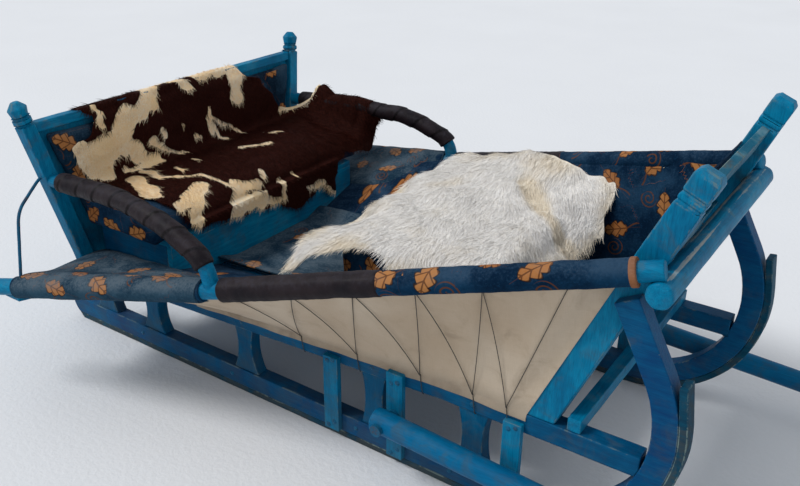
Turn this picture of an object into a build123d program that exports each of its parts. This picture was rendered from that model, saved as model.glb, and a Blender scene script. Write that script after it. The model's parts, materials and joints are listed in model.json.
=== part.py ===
from build123d import *
import os
from math import asin, cos, degrees, hypot, radians, sin

# An open horse sleigh of painted timber. Millimetres, +X is the direction of travel, +Y its left side and
# +Z up, with the soles on Z = 0. Stations are measured forward from the rear end of the runners, and a
# piece that comes in pairs is modelled on the left and mirrored to the right.

# Runners and soles
TRACK = 800.0
RUNNER_WIDTH = 48.0
RUNNER_HEIGHT = 60.0
SOLE_THICKNESS = 20.0
CURL_STATION = 1800.0
CURL_RADIUS = 365.0
CURL_TURN = 118.0
CURL_TIP_RUN = 188.0
SOLE_WRAP = 98.0
SOLE_PEEL_RUN = 105.0
RUNNER_TAIL_RADIUS = 25.0

# Rail on the posts
RAIL_TAIL_STATION = 60.0
RAIL_TAIL_BOTTOM = 195.0
RAIL_LEVEL_STATION = 1560.0
RAIL_LEVEL_BOTTOM = 268.0
RAIL_TAIL_HEIGHT = 40.0
RAIL_LEVEL_HEIGHT = 56.0
RAIL_WIDTH = 50.0

# Posts between runner and rail: station, width at the foot, at the waist and at the head
POST_THICKNESS = 40.0
POSTS = [
    # station, foot, waist, head
    (190.0, 104.0, 66.0, 84.0),
    (430.0, 104.0, 60.0, 80.0),
    (850.0, 100.0, 57.0, 76.0),
    (1340.0, 84.0, 60.0, 84.0),
    (1655.0, 92.0, 62.0, 90.0),
]

# Outer plates: station, width and how far the head laps the rail
PLATE_THICKNESS = 18.0
PLATE_FOOT = 25.0
PLATES = [
    # station, width, lap on the rail
    (1205.0, 54.0, 26.0),
    (1425.0, 54.0, 44.0),
    (1776.0, 54.0, 30.0),
]
SHAFT_PLATE = 1

# Cross beams and floor
BEAM_HEIGHT = 36.0
BEAM_LENGTH_ALONG = 56.0
BEAMS = [
    # station, length along the rail
    (430.0, BEAM_LENGTH_ALONG),
    (850.0, BEAM_LENGTH_ALONG),
    (1340.0, BEAM_LENGTH_ALONG),
    (1655.0, BEAM_LENGTH_ALONG),
    (1925.0, 34.0),
]
FLOOR_THICKNESS = 20.0
FLOOR_BOARDS = 5
FLOOR_GAP = 6.0
FLOOR_INSET = 15.0
FLOOR_FRONT_STATION = 1752.0

# Rear sill that carries the rear posts and the tails of the poles
SILL_STATION = 262.0
SILL_LENGTH_ALONG = 70.0
SILL_TOP = 335.0
SILL_OVERHANG = 6.0
SILL_END_THICKNESS = 18.0
SILL_SHOULDER = 14.0

# Side poles: tip, knee and tail as station, distance from the middle and height
POLE_DIAMETER = 52.0
POLE_TIP_INSET = 4.0
POLE_TIP = (2080.0, TRACK / 2 - POLE_TIP_INSET, 801.0)
POLE_KNEE = (977.0, 610.0, 501.0)
POLE_TAIL = (90.0, 800.0, 321.0)
POLE_BEND_RADIUS = 1500.0
SLEEVE_CLEARANCE = 0.4

# Covers round the poles, as distances along the pole from its tip
FABRIC_THICKNESS = 5.0
GRIP_THICKNESS = 7.0
FRONT_COVER_START = 58.0
FRONT_COVER_END = 662.0
GRIP_END = 1134.0
REAR_COVER_START = 1196.0
REAR_COVER_END = 1884.0

# Front posts, lying back from the log
FRONT_POST_FOOT_INSET = 28.0
FRONT_POST_TOP_INSET = 79.0
FRONT_POST_FOOT = (1833.0, TRACK / 2 - FRONT_POST_FOOT_INSET, 324.0)
FRONT_POST_TOP = (2123.0, TRACK / 2 - FRONT_POST_TOP_INSET, 1003.0)
FRONT_POST_DEPTH = 82.0
FRONT_POST_DEPTH_TOP = 62.0
FRONT_POST_WIDTH = 50.0

# Front cross log and boards
LOG_DIAMETER = 62.0
LOG_HEIGHT = 752.0
LOG_FORWARD = 65.2
LOG_OVERHANG = 26.0
FRONT_BOARD_THICKNESS = 22.0
FRONT_BOARDS = [
    # distance up the post, board width
    (20.0, 90.0),
    (150.0, 110.0),
    (290.0, 110.0),
    (580.0, 70.0),
]

# Rear posts, back rail and back
REAR_POST_FOOT = (268.0, 497.0, 335.0)
REAR_POST_TOP = (204.0, 610.0, 881.0)
REAR_POST_SIZE = 46.0
REAR_POST_SIZE_TOP = 44.0
REAR_POST_KNOB = 54.0
BACK_RAIL_HEIGHT = 30.0
BACK_RAIL_THICKNESS = 30.0
BACK_RAIL_TOP = 812.0
BACK_BOARD_THICKNESS = 16.0
BACK_BOARDS = 6
BACK_BOARD_GAP = 5.0
BACK_PAD_THICKNESS = 30.0

# Seat
SEAT_REAR_STATION = 287.0
SEAT_FRONT_STATION = 622.0
SEAT_HALF_WIDTH = 445.0
SEAT_BOARD_TOP = 478.0
SEAT_BOARD_THICKNESS = 20.0
SEAT_SIDE_THICKNESS = 22.0
SEAT_PAD_OVERHANG = 18.0
SEAT_PAD_REAR_HEIGHT = 105.0
SEAT_PAD_FRONT_HEIGHT = 68.0
SEAT_PAD_ROUND = 28.0

# Wings between the seat and the poles
WING_THICKNESS = 22.0
WING_CLEARANCE = 7.0
WING_REAR_STATION = 244.0
WING_FRONT_STATION = 905.0
WING_INNER_REAR = 352.0
WING_INNER_FRONT = 392.0

# Arm rests: points as station, distance from the middle and height
ARM_DIAMETER = 44.0
ARM_COVER_THICKNESS = 8.0
ARM_POINTS = [
    # station, out, height
    (238.0, 557.0, 629.0),
    (560.0, 569.0, 654.0),
    (806.0, 600.0, 640.0),
    (955.0, 612.0, 575.0),
    (974.0, 613.0, 500.0),
]
ARM_RADII = [900.0, 380.0, 70.0]
ARM_COVER_REAR_GAP = 62.0
ARM_COVER_FRONT_GAP = 72.0

# Canvas sides and linings
CANVAS_THICKNESS = 4.0
LINING_THICKNESS = 8.0
LINING_AIR = 3.0
SKIN_REAR_STATION = 660.0
SKIN_TOP_DROP = 41.0
SKIN_FRONT_HEAD = 735.0
SKIN_POST_GAP = 14.0
CLOTH_THICKNESS = 8.0
FRONT_LINING_LOW = 60.0
FRONT_LINING_HIGH = 590.0

# Stay rods at the back
STAY_DIAMETER = 10.0
STAY_HEAD_HEIGHT = 655.0
STAY_HEAD_BEND_RADIUS = 25.0
STAY_BEND_RADIUS = 60.0
STAY_BEND_HEIGHT = 596.0
STAY_BEND_INSET = 36.0
STAY_FOOT_STATION = 300.0
STAY_REACH = Vector(0, 34, -18)

# Shafts
SHAFT_DIAMETER = 68.0
SHAFT_TIP_DIAMETER = 46.0
SHAFT_LENGTH = 3000.0
SHAFT_HEEL = 34.0
SHAFT_CLEARANCE = 10.0
SHAFT_PIVOT_HEIGHT = 172.0
TUG_NOTCH_FROM_TIP = 150.0
TUG_NOTCH_LENGTH = 60.0
TUG_NOTCH_DEPTH = 5.0
TUG_NOTCH_SLOPE = 10.0
TIP_CHAMFER = 12.0
HEEL_CHAMFER = 6.0
PIVOT_DIAMETER = 16.0
PIVOT_PLAY = 0.5
PIVOT_SIDE_PLAY = 1.0
PIVOT_HEAD_DIAMETER = 34.0
PIVOT_HEAD_LENGTH = 10.0

# Soft furnishings
DRIVER_CUSHION_SIZE = (600.0, 560.0, 150.0)
DRIVER_CUSHION_AT = (1330.0, 70.0)
CUSHION_ROUND = 55.0
FLEECE_THICKNESS = 45.0
FLEECE_SIZE = (720.0, 640.0)
HIDE_THICKNESS = 6.0
HIDE_RIGHT = -450.0
HIDE_LEFT = 505.0
HIDE_BACK_HEM = 700.0
HIDE_FRONT_DROP = 10.0
SOFT_CLEARANCE = 0.5

SEAT_GAP = 0.3

# Heads of the posts: length, width below and above as shares of the head's width
FRONT_HEAD = [
    # length, width below, width above
    (5.0, 1.00, 0.84),
    (5.0, 0.84, 1.00),
    (11.0, 1.00, 1.00),
    (5.0, 1.00, 0.84),
    (5.0, 0.84, 1.00),
    (43.0, 1.00, 1.00),
    (14.0, 1.00, 0.66),
]
REAR_HEAD = [
    # length, width below, width above
    (7.0, 0.80, 0.80),
    (14.0, 1.00, 1.00),
    (7.0, 0.80, 0.80),
    (26.0, 0.86, 1.04),
    (20.0, 1.04, 0.42),
]
KNOB_SIDES = 8
POST_SINK = 80.0

# Values that follow from the sizes above
FRONT_HEAD_LENGTH = sum(row[0] for row in FRONT_HEAD)
RUNNER_OUTER = TRACK / 2
LOG_HALF_LENGTH = RUNNER_OUTER + LOG_OVERHANG
FRONT_LEAN = (FRONT_POST_TOP[0] - FRONT_POST_FOOT[0]) / (FRONT_POST_TOP[2] - FRONT_POST_FOOT[2])
LOG_STATION = FRONT_POST_FOOT[0] + FRONT_LEAN * (LOG_HEIGHT - FRONT_POST_FOOT[2]) + LOG_FORWARD
SEAT_PAD_HALF_WIDTH = REAR_POST_FOOT[1] + SEAT_PAD_OVERHANG
FLOOR_HALF_WIDTH = RUNNER_OUTER - FLOOR_INSET
SHAFT_CENTRE_OUT = RUNNER_OUTER + PLATE_THICKNESS + SHAFT_CLEARANCE + SHAFT_DIAMETER / 2
RUNNER_TOP = SOLE_THICKNESS + RUNNER_HEIGHT
CURL_HEIGHT = SOLE_THICKNESS + CURL_RADIUS
PIVOT_STATION = PLATES[SHAFT_PLATE][0]
SHAFT_DROP = degrees(asin((SHAFT_PIVOT_HEIGHT - SHAFT_TIP_DIAMETER / 2) / SHAFT_LENGTH))
OVERALL_LENGTH = PIVOT_STATION + SHAFT_LENGTH * cos(radians(SHAFT_DROP))
RAIL_SLOPE = (RAIL_LEVEL_BOTTOM - RAIL_TAIL_BOTTOM) / (RAIL_LEVEL_STATION - RAIL_TAIL_STATION)
RAIL_MIDDLE = RUNNER_OUTER - RAIL_WIDTH / 2
FLOOR_SLOPE = RAIL_SLOPE + (RAIL_LEVEL_HEIGHT - RAIL_TAIL_HEIGHT) / (RAIL_LEVEL_STATION - RAIL_TAIL_STATION)


def along(station):
    """X of a station measured forward from the rear end of the runners."""
    return station - OVERALL_LENGTH / 2


def place(point):
    """The vector of a (station, out, height) point on the left side."""
    return Vector(along(point[0]), point[1], point[2])


def side_plane(out):
    """A plane facing the right side, whose sketches are drawn in X and Z."""
    return Plane(origin=(0, out, 0), x_dir=(1, 0, 0), z_dir=(0, -1, 0))


def post_half_depth(up):
    """Half the fore and aft size of the front post at a distance up it."""
    share = (up + POST_SINK) / (front_post_length - FRONT_HEAD_LENGTH + POST_SINK)
    return (FRONT_POST_DEPTH + (FRONT_POST_DEPTH_TOP - FRONT_POST_DEPTH) * share) / 2


def rail_bottom(station):
    """Height of the underside of the rail."""
    return RAIL_TAIL_BOTTOM + RAIL_SLOPE * (min(station, RAIL_LEVEL_STATION) - RAIL_TAIL_STATION)


def rail_top(station):
    """Height of the top of the rail."""
    share = (min(station, RAIL_LEVEL_STATION) - RAIL_TAIL_STATION) / (RAIL_LEVEL_STATION - RAIL_TAIL_STATION)
    height = RAIL_TAIL_HEIGHT + (RAIL_LEVEL_HEIGHT - RAIL_TAIL_HEIGHT) * share
    return rail_bottom(station) + height


def beam_top(station):
    """Height of the plane on which the floor boards lie."""
    return rail_top(station) + BEAM_HEIGHT


def floor_top(station):
    """Height of the top of the floor boards."""
    return beam_top(station) + FLOOR_THICKNESS


def on_line(start, end, share):
    """The point at a share of the way from one vector to another."""
    return start + (end - start) * share


def leaning_plane(origin, direction):
    """A plane square to a direction, with its X as near to forward as it can be."""
    forward = Vector(1, 0, 0)
    x_dir = forward - direction * forward.dot(direction)
    return Plane(origin=origin, x_dir=x_dir.normalized(), z_dir=direction)


def finish(part, name):
    """Label a sub-part and write it."""
    part.label = name
    export_step(part, f"parts/{name}.step")


def finish_pair(part, name):
    """Write a left piece and its mirror image on the right."""
    finish(mirror(part, about=Plane.XZ), f"{name}_right")
    finish(part, f"{name}_left")


os.makedirs("parts", exist_ok=True)

# Lines that several pieces share
pole_tip = place(POLE_TIP)
pole_knee = place(POLE_KNEE)
pole_tail = place(POLE_TAIL)
pole_front = (pole_knee - pole_tip).normalized()
pole_rear = (pole_tail - pole_knee).normalized()
pole_front_length = (pole_knee - pole_tip).length
front_foot = place(FRONT_POST_FOOT)
front_top = place(FRONT_POST_TOP)
front_axis = (front_top - front_foot).normalized()
rear_foot = place(REAR_POST_FOOT)
rear_top = place(REAR_POST_TOP)
rear_axis = (rear_top - rear_foot).normalized()


def pole_at(distance):
    """The centre of the pole at a distance along it from its tip."""
    if distance <= pole_front_length:
        return pole_tip + pole_front * distance
    return pole_knee + pole_rear * (distance - pole_front_length)


def pole_station(station):
    """The centre of the pole at a station."""
    x = along(station)
    if x >= pole_knee.X:
        return on_line(pole_knee, pole_tip, (x - pole_knee.X) / (pole_tip.X - pole_knee.X))
    return on_line(pole_knee, pole_tail, (x - pole_knee.X) / (pole_tail.X - pole_knee.X))


# Side pole, a long stick bent slightly at the foot of the arm rest
with BuildPart() as pole:
    with BuildLine() as pole_path:
        FilletPolyline(pole_tip, pole_knee, pole_tail, radius=POLE_BEND_RADIUS)
    with BuildSketch(Plane(origin=pole_tip, z_dir=pole_front)):
        Circle(POLE_DIAMETER / 2)
    sweep(path=pole_path.line)

# The same stick a little fatter, which cuts the seats that it lies in
with BuildPart() as pole_seat:
    with BuildSketch(Plane(origin=pole_tip, z_dir=pole_front)):
        Circle(POLE_DIAMETER / 2 + SEAT_GAP)
    sweep(path=pole_path.line)

# Cross log in front of the posts, notched for the tips of the poles
with BuildPart() as front_log:
    with BuildSketch(side_plane(LOG_HALF_LENGTH)):
        with Locations((along(LOG_STATION), LOG_HEIGHT)):
            RegularPolygon(LOG_DIAMETER / 2, 16)
    extrude(amount=2 * LOG_HALF_LENGTH)
    add(pole_seat.part, mode=Mode.SUBTRACT)
    add(mirror(pole_seat.part, about=Plane.XZ), mode=Mode.SUBTRACT)
finish(front_log.part, "front_log")


def square_head(share):
    """Section of a front post's head at a share of the post's own section."""
    Rectangle(share * FRONT_POST_DEPTH_TOP, share * FRONT_POST_WIDTH)


def knob_head(share):
    """Section of a rear post's knob at a share of its full width."""
    RegularPolygon(share * REAR_POST_KNOB / 2, KNOB_SIDES, major_radius=False, rotation=180 / KNOB_SIDES)


def post_with_head(foot, axis, length, lower, upper, rows, draw_section):
    """A tapered post along an axis, ending in the turned or chamfered head that its rows give.

    lower and upper are (fore and aft, across) sizes.
    """
    height = length - sum(row[0] for row in rows)
    with BuildPart() as post:
        with BuildSketch(leaning_plane(foot - axis * POST_SINK, axis)):
            Rectangle(*lower)
        with BuildSketch(leaning_plane(foot + axis * height, axis)):
            Rectangle(*upper)
        loft(ruled=True)
        for row_length, below, above in rows:
            for up, share in [(height, below), (height + row_length, above)]:
                with BuildSketch(leaning_plane(foot + axis * up, axis)):
                    draw_section(share)
            loft(ruled=True)
            height += row_length
    return post.part


# Front posts stand on the rails and carry the log in a notch
front_post_length = (front_top - front_foot).length
with BuildPart() as front_post:
    add(
        post_with_head(
            front_foot,
            front_axis,
            front_post_length,
            (FRONT_POST_DEPTH, FRONT_POST_WIDTH),
            (FRONT_POST_DEPTH_TOP, FRONT_POST_WIDTH),
            FRONT_HEAD,
            square_head,
        )
    )
    split(bisect_by=Plane.XY.offset(rail_top(RAIL_LEVEL_STATION)), keep=Keep.TOP)
    with BuildSketch(side_plane(LOG_HALF_LENGTH)):
        with Locations((along(LOG_STATION), LOG_HEIGHT)):
            Circle(LOG_DIAMETER / 2 + SEAT_GAP)
    extrude(amount=LOG_HALF_LENGTH, mode=Mode.SUBTRACT)
    add(pole_seat.part, mode=Mode.SUBTRACT)
finish_pair(front_post.part, "front_post")

# Runner: a straight bar bent up in a curl, its end butted against the front post
turn_end = CURL_TURN - 90
with BuildPart() as runner:
    with BuildSketch(side_plane(RUNNER_OUTER)):
        with BuildLine():
            centre = (along(CURL_STATION), CURL_HEIGHT)
            outer = CenterArc(centre, CURL_RADIUS, -90, CURL_TURN)
            inner = CenterArc(centre, CURL_RADIUS - RUNNER_HEIGHT, -90, CURL_TURN)
            tip = Vector(-sin(radians(turn_end)), cos(radians(turn_end))) * CURL_TIP_RUN
            Line(outer @ 1, (outer @ 1) + tip)
            Line((outer @ 1) + tip, (inner @ 1) + tip)
            Line((inner @ 1) + tip, inner @ 1)
            Line(inner @ 0, (along(0), RUNNER_TOP))
            tail = RadiusArc(
                (along(0), RUNNER_TOP),
                (along(RUNNER_TAIL_RADIUS), SOLE_THICKNESS),
                -hypot(RUNNER_TAIL_RADIUS, RUNNER_HEIGHT),
            )
            Line(tail @ 1, outer @ 0)
        make_face()
    extrude(amount=RUNNER_WIDTH)
    with BuildSketch(side_plane(LOG_HALF_LENGTH)):
        with Locations((along(LOG_STATION), LOG_HEIGHT)):
            Circle(LOG_DIAMETER / 2 + SEAT_GAP)
    extrude(amount=LOG_HALF_LENGTH, mode=Mode.SUBTRACT)
    add(front_post.part, mode=Mode.SUBTRACT)
finish_pair(runner.part, "runner")

# Sole: the wearing strip under the runner, which peels away at its upper end
peel_angle = SOLE_WRAP - 90
with BuildPart() as sole:
    with BuildSketch(side_plane(RUNNER_OUTER)):
        with BuildLine():
            centre = (along(CURL_STATION), CURL_HEIGHT)
            outer = CenterArc(centre, CURL_RADIUS + SOLE_THICKNESS, -90, SOLE_WRAP)
            inner = CenterArc(centre, CURL_RADIUS, -90, SOLE_WRAP)
            peel = Vector(-sin(radians(peel_angle)), cos(radians(peel_angle))) * SOLE_PEEL_RUN
            Line(outer @ 1, (outer @ 1) + peel)
            Line((outer @ 1) + peel, (inner @ 1) + peel)
            Line((inner @ 1) + peel, inner @ 1)
            Line(inner @ 0, (along(RUNNER_TAIL_RADIUS), SOLE_THICKNESS))
            Line((along(RUNNER_TAIL_RADIUS), SOLE_THICKNESS), (along(RUNNER_TAIL_RADIUS + SOLE_THICKNESS), 0))
            Line((along(RUNNER_TAIL_RADIUS + SOLE_THICKNESS), 0), outer @ 0)
        make_face()
    extrude(amount=RUNNER_WIDTH)
finish_pair(sole.part, "sole")

# Posts between runner and rail, waisted on both edges
with BuildPart() as posts:
    with BuildSketch(side_plane(RAIL_MIDDLE + POST_THICKNESS / 2)):
        for station, foot, waist, head in POSTS:
            middle = (RUNNER_TOP + rail_bottom(station)) / 2
            with BuildLine():
                left_top = (along(station - head / 2), rail_bottom(station - head / 2))
                right_top = (along(station + head / 2), rail_bottom(station + head / 2))
                left_foot = (along(station - foot / 2), RUNNER_TOP)
                right_foot = (along(station + foot / 2), RUNNER_TOP)
                ThreePointArc(left_foot, (along(station - waist / 2), middle), left_top)
                Line(left_top, right_top)
                ThreePointArc(right_top, (along(station + waist / 2), middle), right_foot)
                Line(right_foot, left_foot)
            make_face()
    extrude(amount=POST_THICKNESS)
finish_pair(posts.part, "posts")

# Rail along the heads of the posts, ending against the inside of the curl
rail_end = CURL_STATION + CURL_RADIUS - RUNNER_HEIGHT / 2 - 45
with BuildPart() as rail:
    with BuildSketch(side_plane(RUNNER_OUTER)):
        with BuildLine():
            Polyline(
                (along(RAIL_TAIL_STATION), rail_bottom(RAIL_TAIL_STATION)),
                (along(RAIL_LEVEL_STATION), rail_bottom(RAIL_LEVEL_STATION)),
                (along(rail_end), rail_bottom(rail_end)),
                (along(rail_end), rail_top(rail_end)),
                (along(RAIL_LEVEL_STATION), rail_top(RAIL_LEVEL_STATION)),
                (along(RAIL_TAIL_STATION), rail_top(RAIL_TAIL_STATION)),
                close=True,
            )
        make_face()
    extrude(amount=RAIL_WIDTH)
    add(runner.part, mode=Mode.SUBTRACT)
finish_pair(rail.part, "rail")

# Outer plates tie the rail to the runner; the middle one carries the shaft
with BuildPart() as plates:
    with BuildSketch(side_plane(RUNNER_OUTER + PLATE_THICKNESS)):
        for station, width, lap in PLATES:
            top = rail_bottom(station) + lap
            with Locations((along(station), (PLATE_FOOT + top) / 2)):
                RectangleRounded(width, top - PLATE_FOOT, 4)
        with Locations((along(PIVOT_STATION), SHAFT_PIVOT_HEIGHT)):
            Circle(PIVOT_DIAMETER / 2 + SEAT_GAP, mode=Mode.SUBTRACT)
    extrude(amount=PLATE_THICKNESS)
finish_pair(plates.part, "plates")

# Cross beams lie on the rails
with BuildPart() as cross_beams:
    with BuildSketch(side_plane(RUNNER_OUTER - 4)):
        for station, length_along in BEAMS:
            rear = station - length_along / 2
            front = station + length_along / 2
            with BuildLine():
                Polyline(
                    (along(rear), rail_top(rear)),
                    (along(front), rail_top(front)),
                    (along(front), beam_top(front)),
                    (along(rear), beam_top(rear)),
                    close=True,
                )
            make_face()
    extrude(amount=2 * (RUNNER_OUTER - 4))
finish(cross_beams.part, "cross_beams")

# Floor boards run lengthwise on the beams
floor_rear = SILL_STATION + SILL_LENGTH_ALONG / 2
board_width = (2 * FLOOR_HALF_WIDTH - (FLOOR_BOARDS - 1) * FLOOR_GAP) / FLOOR_BOARDS
with BuildPart() as floor_boards:
    for index in range(FLOOR_BOARDS):
        outer_edge = FLOOR_HALF_WIDTH - index * (board_width + FLOOR_GAP)
        with BuildSketch(side_plane(outer_edge)):
            with BuildLine():
                Polyline(
                    (along(floor_rear), beam_top(floor_rear)),
                    (along(RAIL_LEVEL_STATION), beam_top(RAIL_LEVEL_STATION)),
                    (along(FLOOR_FRONT_STATION), beam_top(FLOOR_FRONT_STATION)),
                    (along(FLOOR_FRONT_STATION), floor_top(FLOOR_FRONT_STATION)),
                    (along(RAIL_LEVEL_STATION), floor_top(RAIL_LEVEL_STATION)),
                    (along(floor_rear), floor_top(floor_rear)),
                    close=True,
                )
            make_face()
        extrude(amount=board_width)
finish(floor_boards.part, "floor_boards")

# Rear sill across the rails, thinner outside them and saddled for the poles
sill_rear = SILL_STATION - SILL_LENGTH_ALONG / 2
sill_front = SILL_STATION + SILL_LENGTH_ALONG / 2
sill_half_length = pole_station(SILL_STATION).Y + SILL_OVERHANG
with BuildPart() as rear_sill:
    with BuildSketch(side_plane(sill_half_length)):
        with BuildLine():
            Polyline(
                (along(sill_rear), rail_top(sill_rear)),
                (along(sill_front), rail_top(sill_front)),
                (along(sill_front), SILL_TOP),
                (along(sill_rear), SILL_TOP),
                close=True,
            )
        make_face()
    extrude(amount=2 * sill_half_length)
    with BuildSketch(Plane.YZ.offset(along(sill_rear))):
        with BuildLine():
            Polyline(
                (-sill_half_length, SILL_TOP),
                (-sill_half_length, SILL_TOP - SILL_END_THICKNESS),
                (-RUNNER_OUTER - SILL_SHOULDER, rail_top(sill_rear)),
                (RUNNER_OUTER + SILL_SHOULDER, rail_top(sill_rear)),
                (sill_half_length, SILL_TOP - SILL_END_THICKNESS),
                (sill_half_length, SILL_TOP),
                close=True,
            )
        make_face()
    extrude(amount=SILL_LENGTH_ALONG, mode=Mode.INTERSECT)
    add(pole_seat.part, mode=Mode.SUBTRACT)
    add(mirror(pole_seat.part, about=Plane.XZ), mode=Mode.SUBTRACT)
finish(rear_sill.part, "rear_sill")

# Rear posts lean back and outward from the sill
rear_post_length = (rear_top - rear_foot).length
with BuildPart() as rear_post:
    add(
        post_with_head(
            rear_foot,
            rear_axis,
            rear_post_length,
            (REAR_POST_SIZE, REAR_POST_SIZE),
            (REAR_POST_SIZE_TOP, REAR_POST_SIZE_TOP),
            REAR_HEAD,
            knob_head,
        )
    )
    split(bisect_by=Plane.XY.offset(SILL_TOP), keep=Keep.TOP)
finish_pair(rear_post.part, "rear_post")

# Back rail between the rear posts
back_lean = (REAR_POST_TOP[0] - REAR_POST_FOOT[0]) / (REAR_POST_TOP[2] - REAR_POST_FOOT[2])


def back_station(height):
    """Station of the middle of the back at a height."""
    return REAR_POST_FOOT[0] + back_lean * (height - REAR_POST_FOOT[2])


rail_low = BACK_RAIL_TOP - BACK_RAIL_HEIGHT
with BuildPart() as back_rail:
    with BuildSketch(side_plane(REAR_POST_TOP[1])):
        with BuildLine():
            Polyline(
                (along(back_station(rail_low) - BACK_RAIL_THICKNESS / 2), rail_low),
                (along(back_station(rail_low) + BACK_RAIL_THICKNESS / 2), rail_low),
                (along(back_station(BACK_RAIL_TOP) + BACK_RAIL_THICKNESS / 2), BACK_RAIL_TOP),
                (along(back_station(BACK_RAIL_TOP) - BACK_RAIL_THICKNESS / 2), BACK_RAIL_TOP),
                close=True,
            )
        make_face()
    extrude(amount=2 * REAR_POST_TOP[1])
    add(rear_post.part, mode=Mode.SUBTRACT)
    add(mirror(rear_post.part, about=Plane.XZ), mode=Mode.SUBTRACT)
middle_piece = back_rail.part.solids().sort_by(lambda solid: abs(solid.center().Y))[0]
finish(Part(middle_piece.wrapped), "back_rail")


def back_slab(rear_offset, front_offset, half_low, half_high, low, high):
    """A leaning slab between two heights, its sides flaring with the posts."""
    with BuildPart() as slab:
        for height, half in [(low, half_low), (high, half_high)]:
            with BuildSketch(Plane.XY.offset(height)):
                middle = along(back_station(height)) + (rear_offset + front_offset) / 2
                with Locations((middle, 0)):
                    Rectangle(front_offset - rear_offset, 2 * half)
        loft(ruled=True)
    return slab.part


post_flare = (REAR_POST_TOP[1] - REAR_POST_FOOT[1]) / (REAR_POST_TOP[2] - REAR_POST_FOOT[2])


def post_inside(height):
    """Distance from the middle to the inner face of the rear post."""
    return REAR_POST_FOOT[1] + post_flare * (height - REAR_POST_FOOT[2]) - REAR_POST_SIZE / 2 - 1


# Back boards stand on the sill behind the padding
back_rear = -BACK_RAIL_THICKNESS / 2
back_low = SILL_TOP
back_high = rail_low
with BuildPart() as back_boards:
    add(
        back_slab(
            back_rear,
            back_rear + BACK_BOARD_THICKNESS,
            post_inside(back_low),
            post_inside(back_high),
            back_low,
            back_high,
        )
    )
    spacing = 2 * post_inside(back_low) / BACK_BOARDS
    with BuildSketch(Plane.XY.offset(back_low - 1)):
        for index in range(1, BACK_BOARDS):
            with Locations((along(REAR_POST_FOOT[0]), -post_inside(back_low) + index * spacing)):
                Rectangle(4 * REAR_POST_SIZE, BACK_BOARD_GAP)
    extrude(amount=back_high - back_low + 2, mode=Mode.SUBTRACT)
finish(back_boards.part, "back_boards")

# Padding in front of the boards
pad_rear = back_rear + BACK_BOARD_THICKNESS + SEAT_GAP
with BuildPart() as back_pad:
    add(
        back_slab(
            pad_rear,
            pad_rear + BACK_PAD_THICKNESS,
            post_inside(back_low) - 2,
            post_inside(back_high) - 2,
            SEAT_BOARD_TOP - SEAT_BOARD_THICKNESS,
            back_high,
        )
    )
finish(back_pad.part, "back_pad")

# Seat box
seat_front_rear_face = SEAT_FRONT_STATION - SEAT_SIDE_THICKNESS
with BuildPart() as seat_front_board:
    with BuildSketch(side_plane(SEAT_HALF_WIDTH)):
        with BuildLine():
            Polyline(
                (along(seat_front_rear_face), floor_top(seat_front_rear_face)),
                (along(SEAT_FRONT_STATION), floor_top(SEAT_FRONT_STATION)),
                (along(SEAT_FRONT_STATION), SEAT_BOARD_TOP - SEAT_BOARD_THICKNESS),
                (along(seat_front_rear_face), SEAT_BOARD_TOP - SEAT_BOARD_THICKNESS),
                close=True,
            )
        make_face()
    extrude(amount=2 * SEAT_HALF_WIDTH)
finish(seat_front_board.part, "seat_front_board")

with BuildPart() as seat_sides:
    for outer_face in (SEAT_HALF_WIDTH, -SEAT_HALF_WIDTH + SEAT_SIDE_THICKNESS):
        with BuildSketch(side_plane(outer_face)):
            with BuildLine():
                Polyline(
                    (along(floor_rear), floor_top(floor_rear)),
                    (along(seat_front_rear_face), floor_top(seat_front_rear_face)),
                    (along(seat_front_rear_face), SEAT_BOARD_TOP - SEAT_BOARD_THICKNESS),
                    (along(floor_rear), SEAT_BOARD_TOP - SEAT_BOARD_THICKNESS),
                    close=True,
                )
            make_face()
        extrude(amount=SEAT_SIDE_THICKNESS)
finish(seat_sides.part, "seat_sides")

seat_middle = (SEAT_REAR_STATION + SEAT_FRONT_STATION) / 2
seat_depth = SEAT_FRONT_STATION - SEAT_REAR_STATION
with BuildPart() as seat_board:
    with BuildSketch(Plane.XY.offset(SEAT_BOARD_TOP - SEAT_BOARD_THICKNESS)):
        with Locations((along(seat_middle), 0)):
            Rectangle(seat_depth, 2 * SEAT_HALF_WIDTH)
    extrude(amount=SEAT_BOARD_THICKNESS)
finish(seat_board.part, "seat_board")

with BuildPart() as seat_pad:
    with BuildSketch(side_plane(SEAT_PAD_HALF_WIDTH)):
        with BuildLine():
            Polyline(
                (along(SEAT_REAR_STATION), SEAT_BOARD_TOP),
                (along(SEAT_FRONT_STATION), SEAT_BOARD_TOP),
                (along(SEAT_FRONT_STATION), SEAT_BOARD_TOP + SEAT_PAD_FRONT_HEIGHT),
                (along(SEAT_REAR_STATION), SEAT_BOARD_TOP + SEAT_PAD_REAR_HEIGHT),
                close=True,
            )
        make_face()
    extrude(amount=2 * SEAT_PAD_HALF_WIDTH)
    fillet(seat_pad.edges().filter_by(Axis.Y).group_by(Axis.X)[-1].sort_by(Axis.Z)[-1], SEAT_PAD_ROUND)
finish(seat_pad.part, "seat_pad")

finish_pair(pole.part, "side_pole")


def sleeve(start, end, inside, thickness):
    """A tube round a straight run between two vectors."""
    direction = (end - start).normalized()
    with BuildPart() as tube:
        with BuildSketch(Plane(origin=start, z_dir=direction)):
            Circle(inside + thickness)
            Circle(inside, mode=Mode.SUBTRACT)
        extrude(amount=(end - start).length)
    return tube.part


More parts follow.
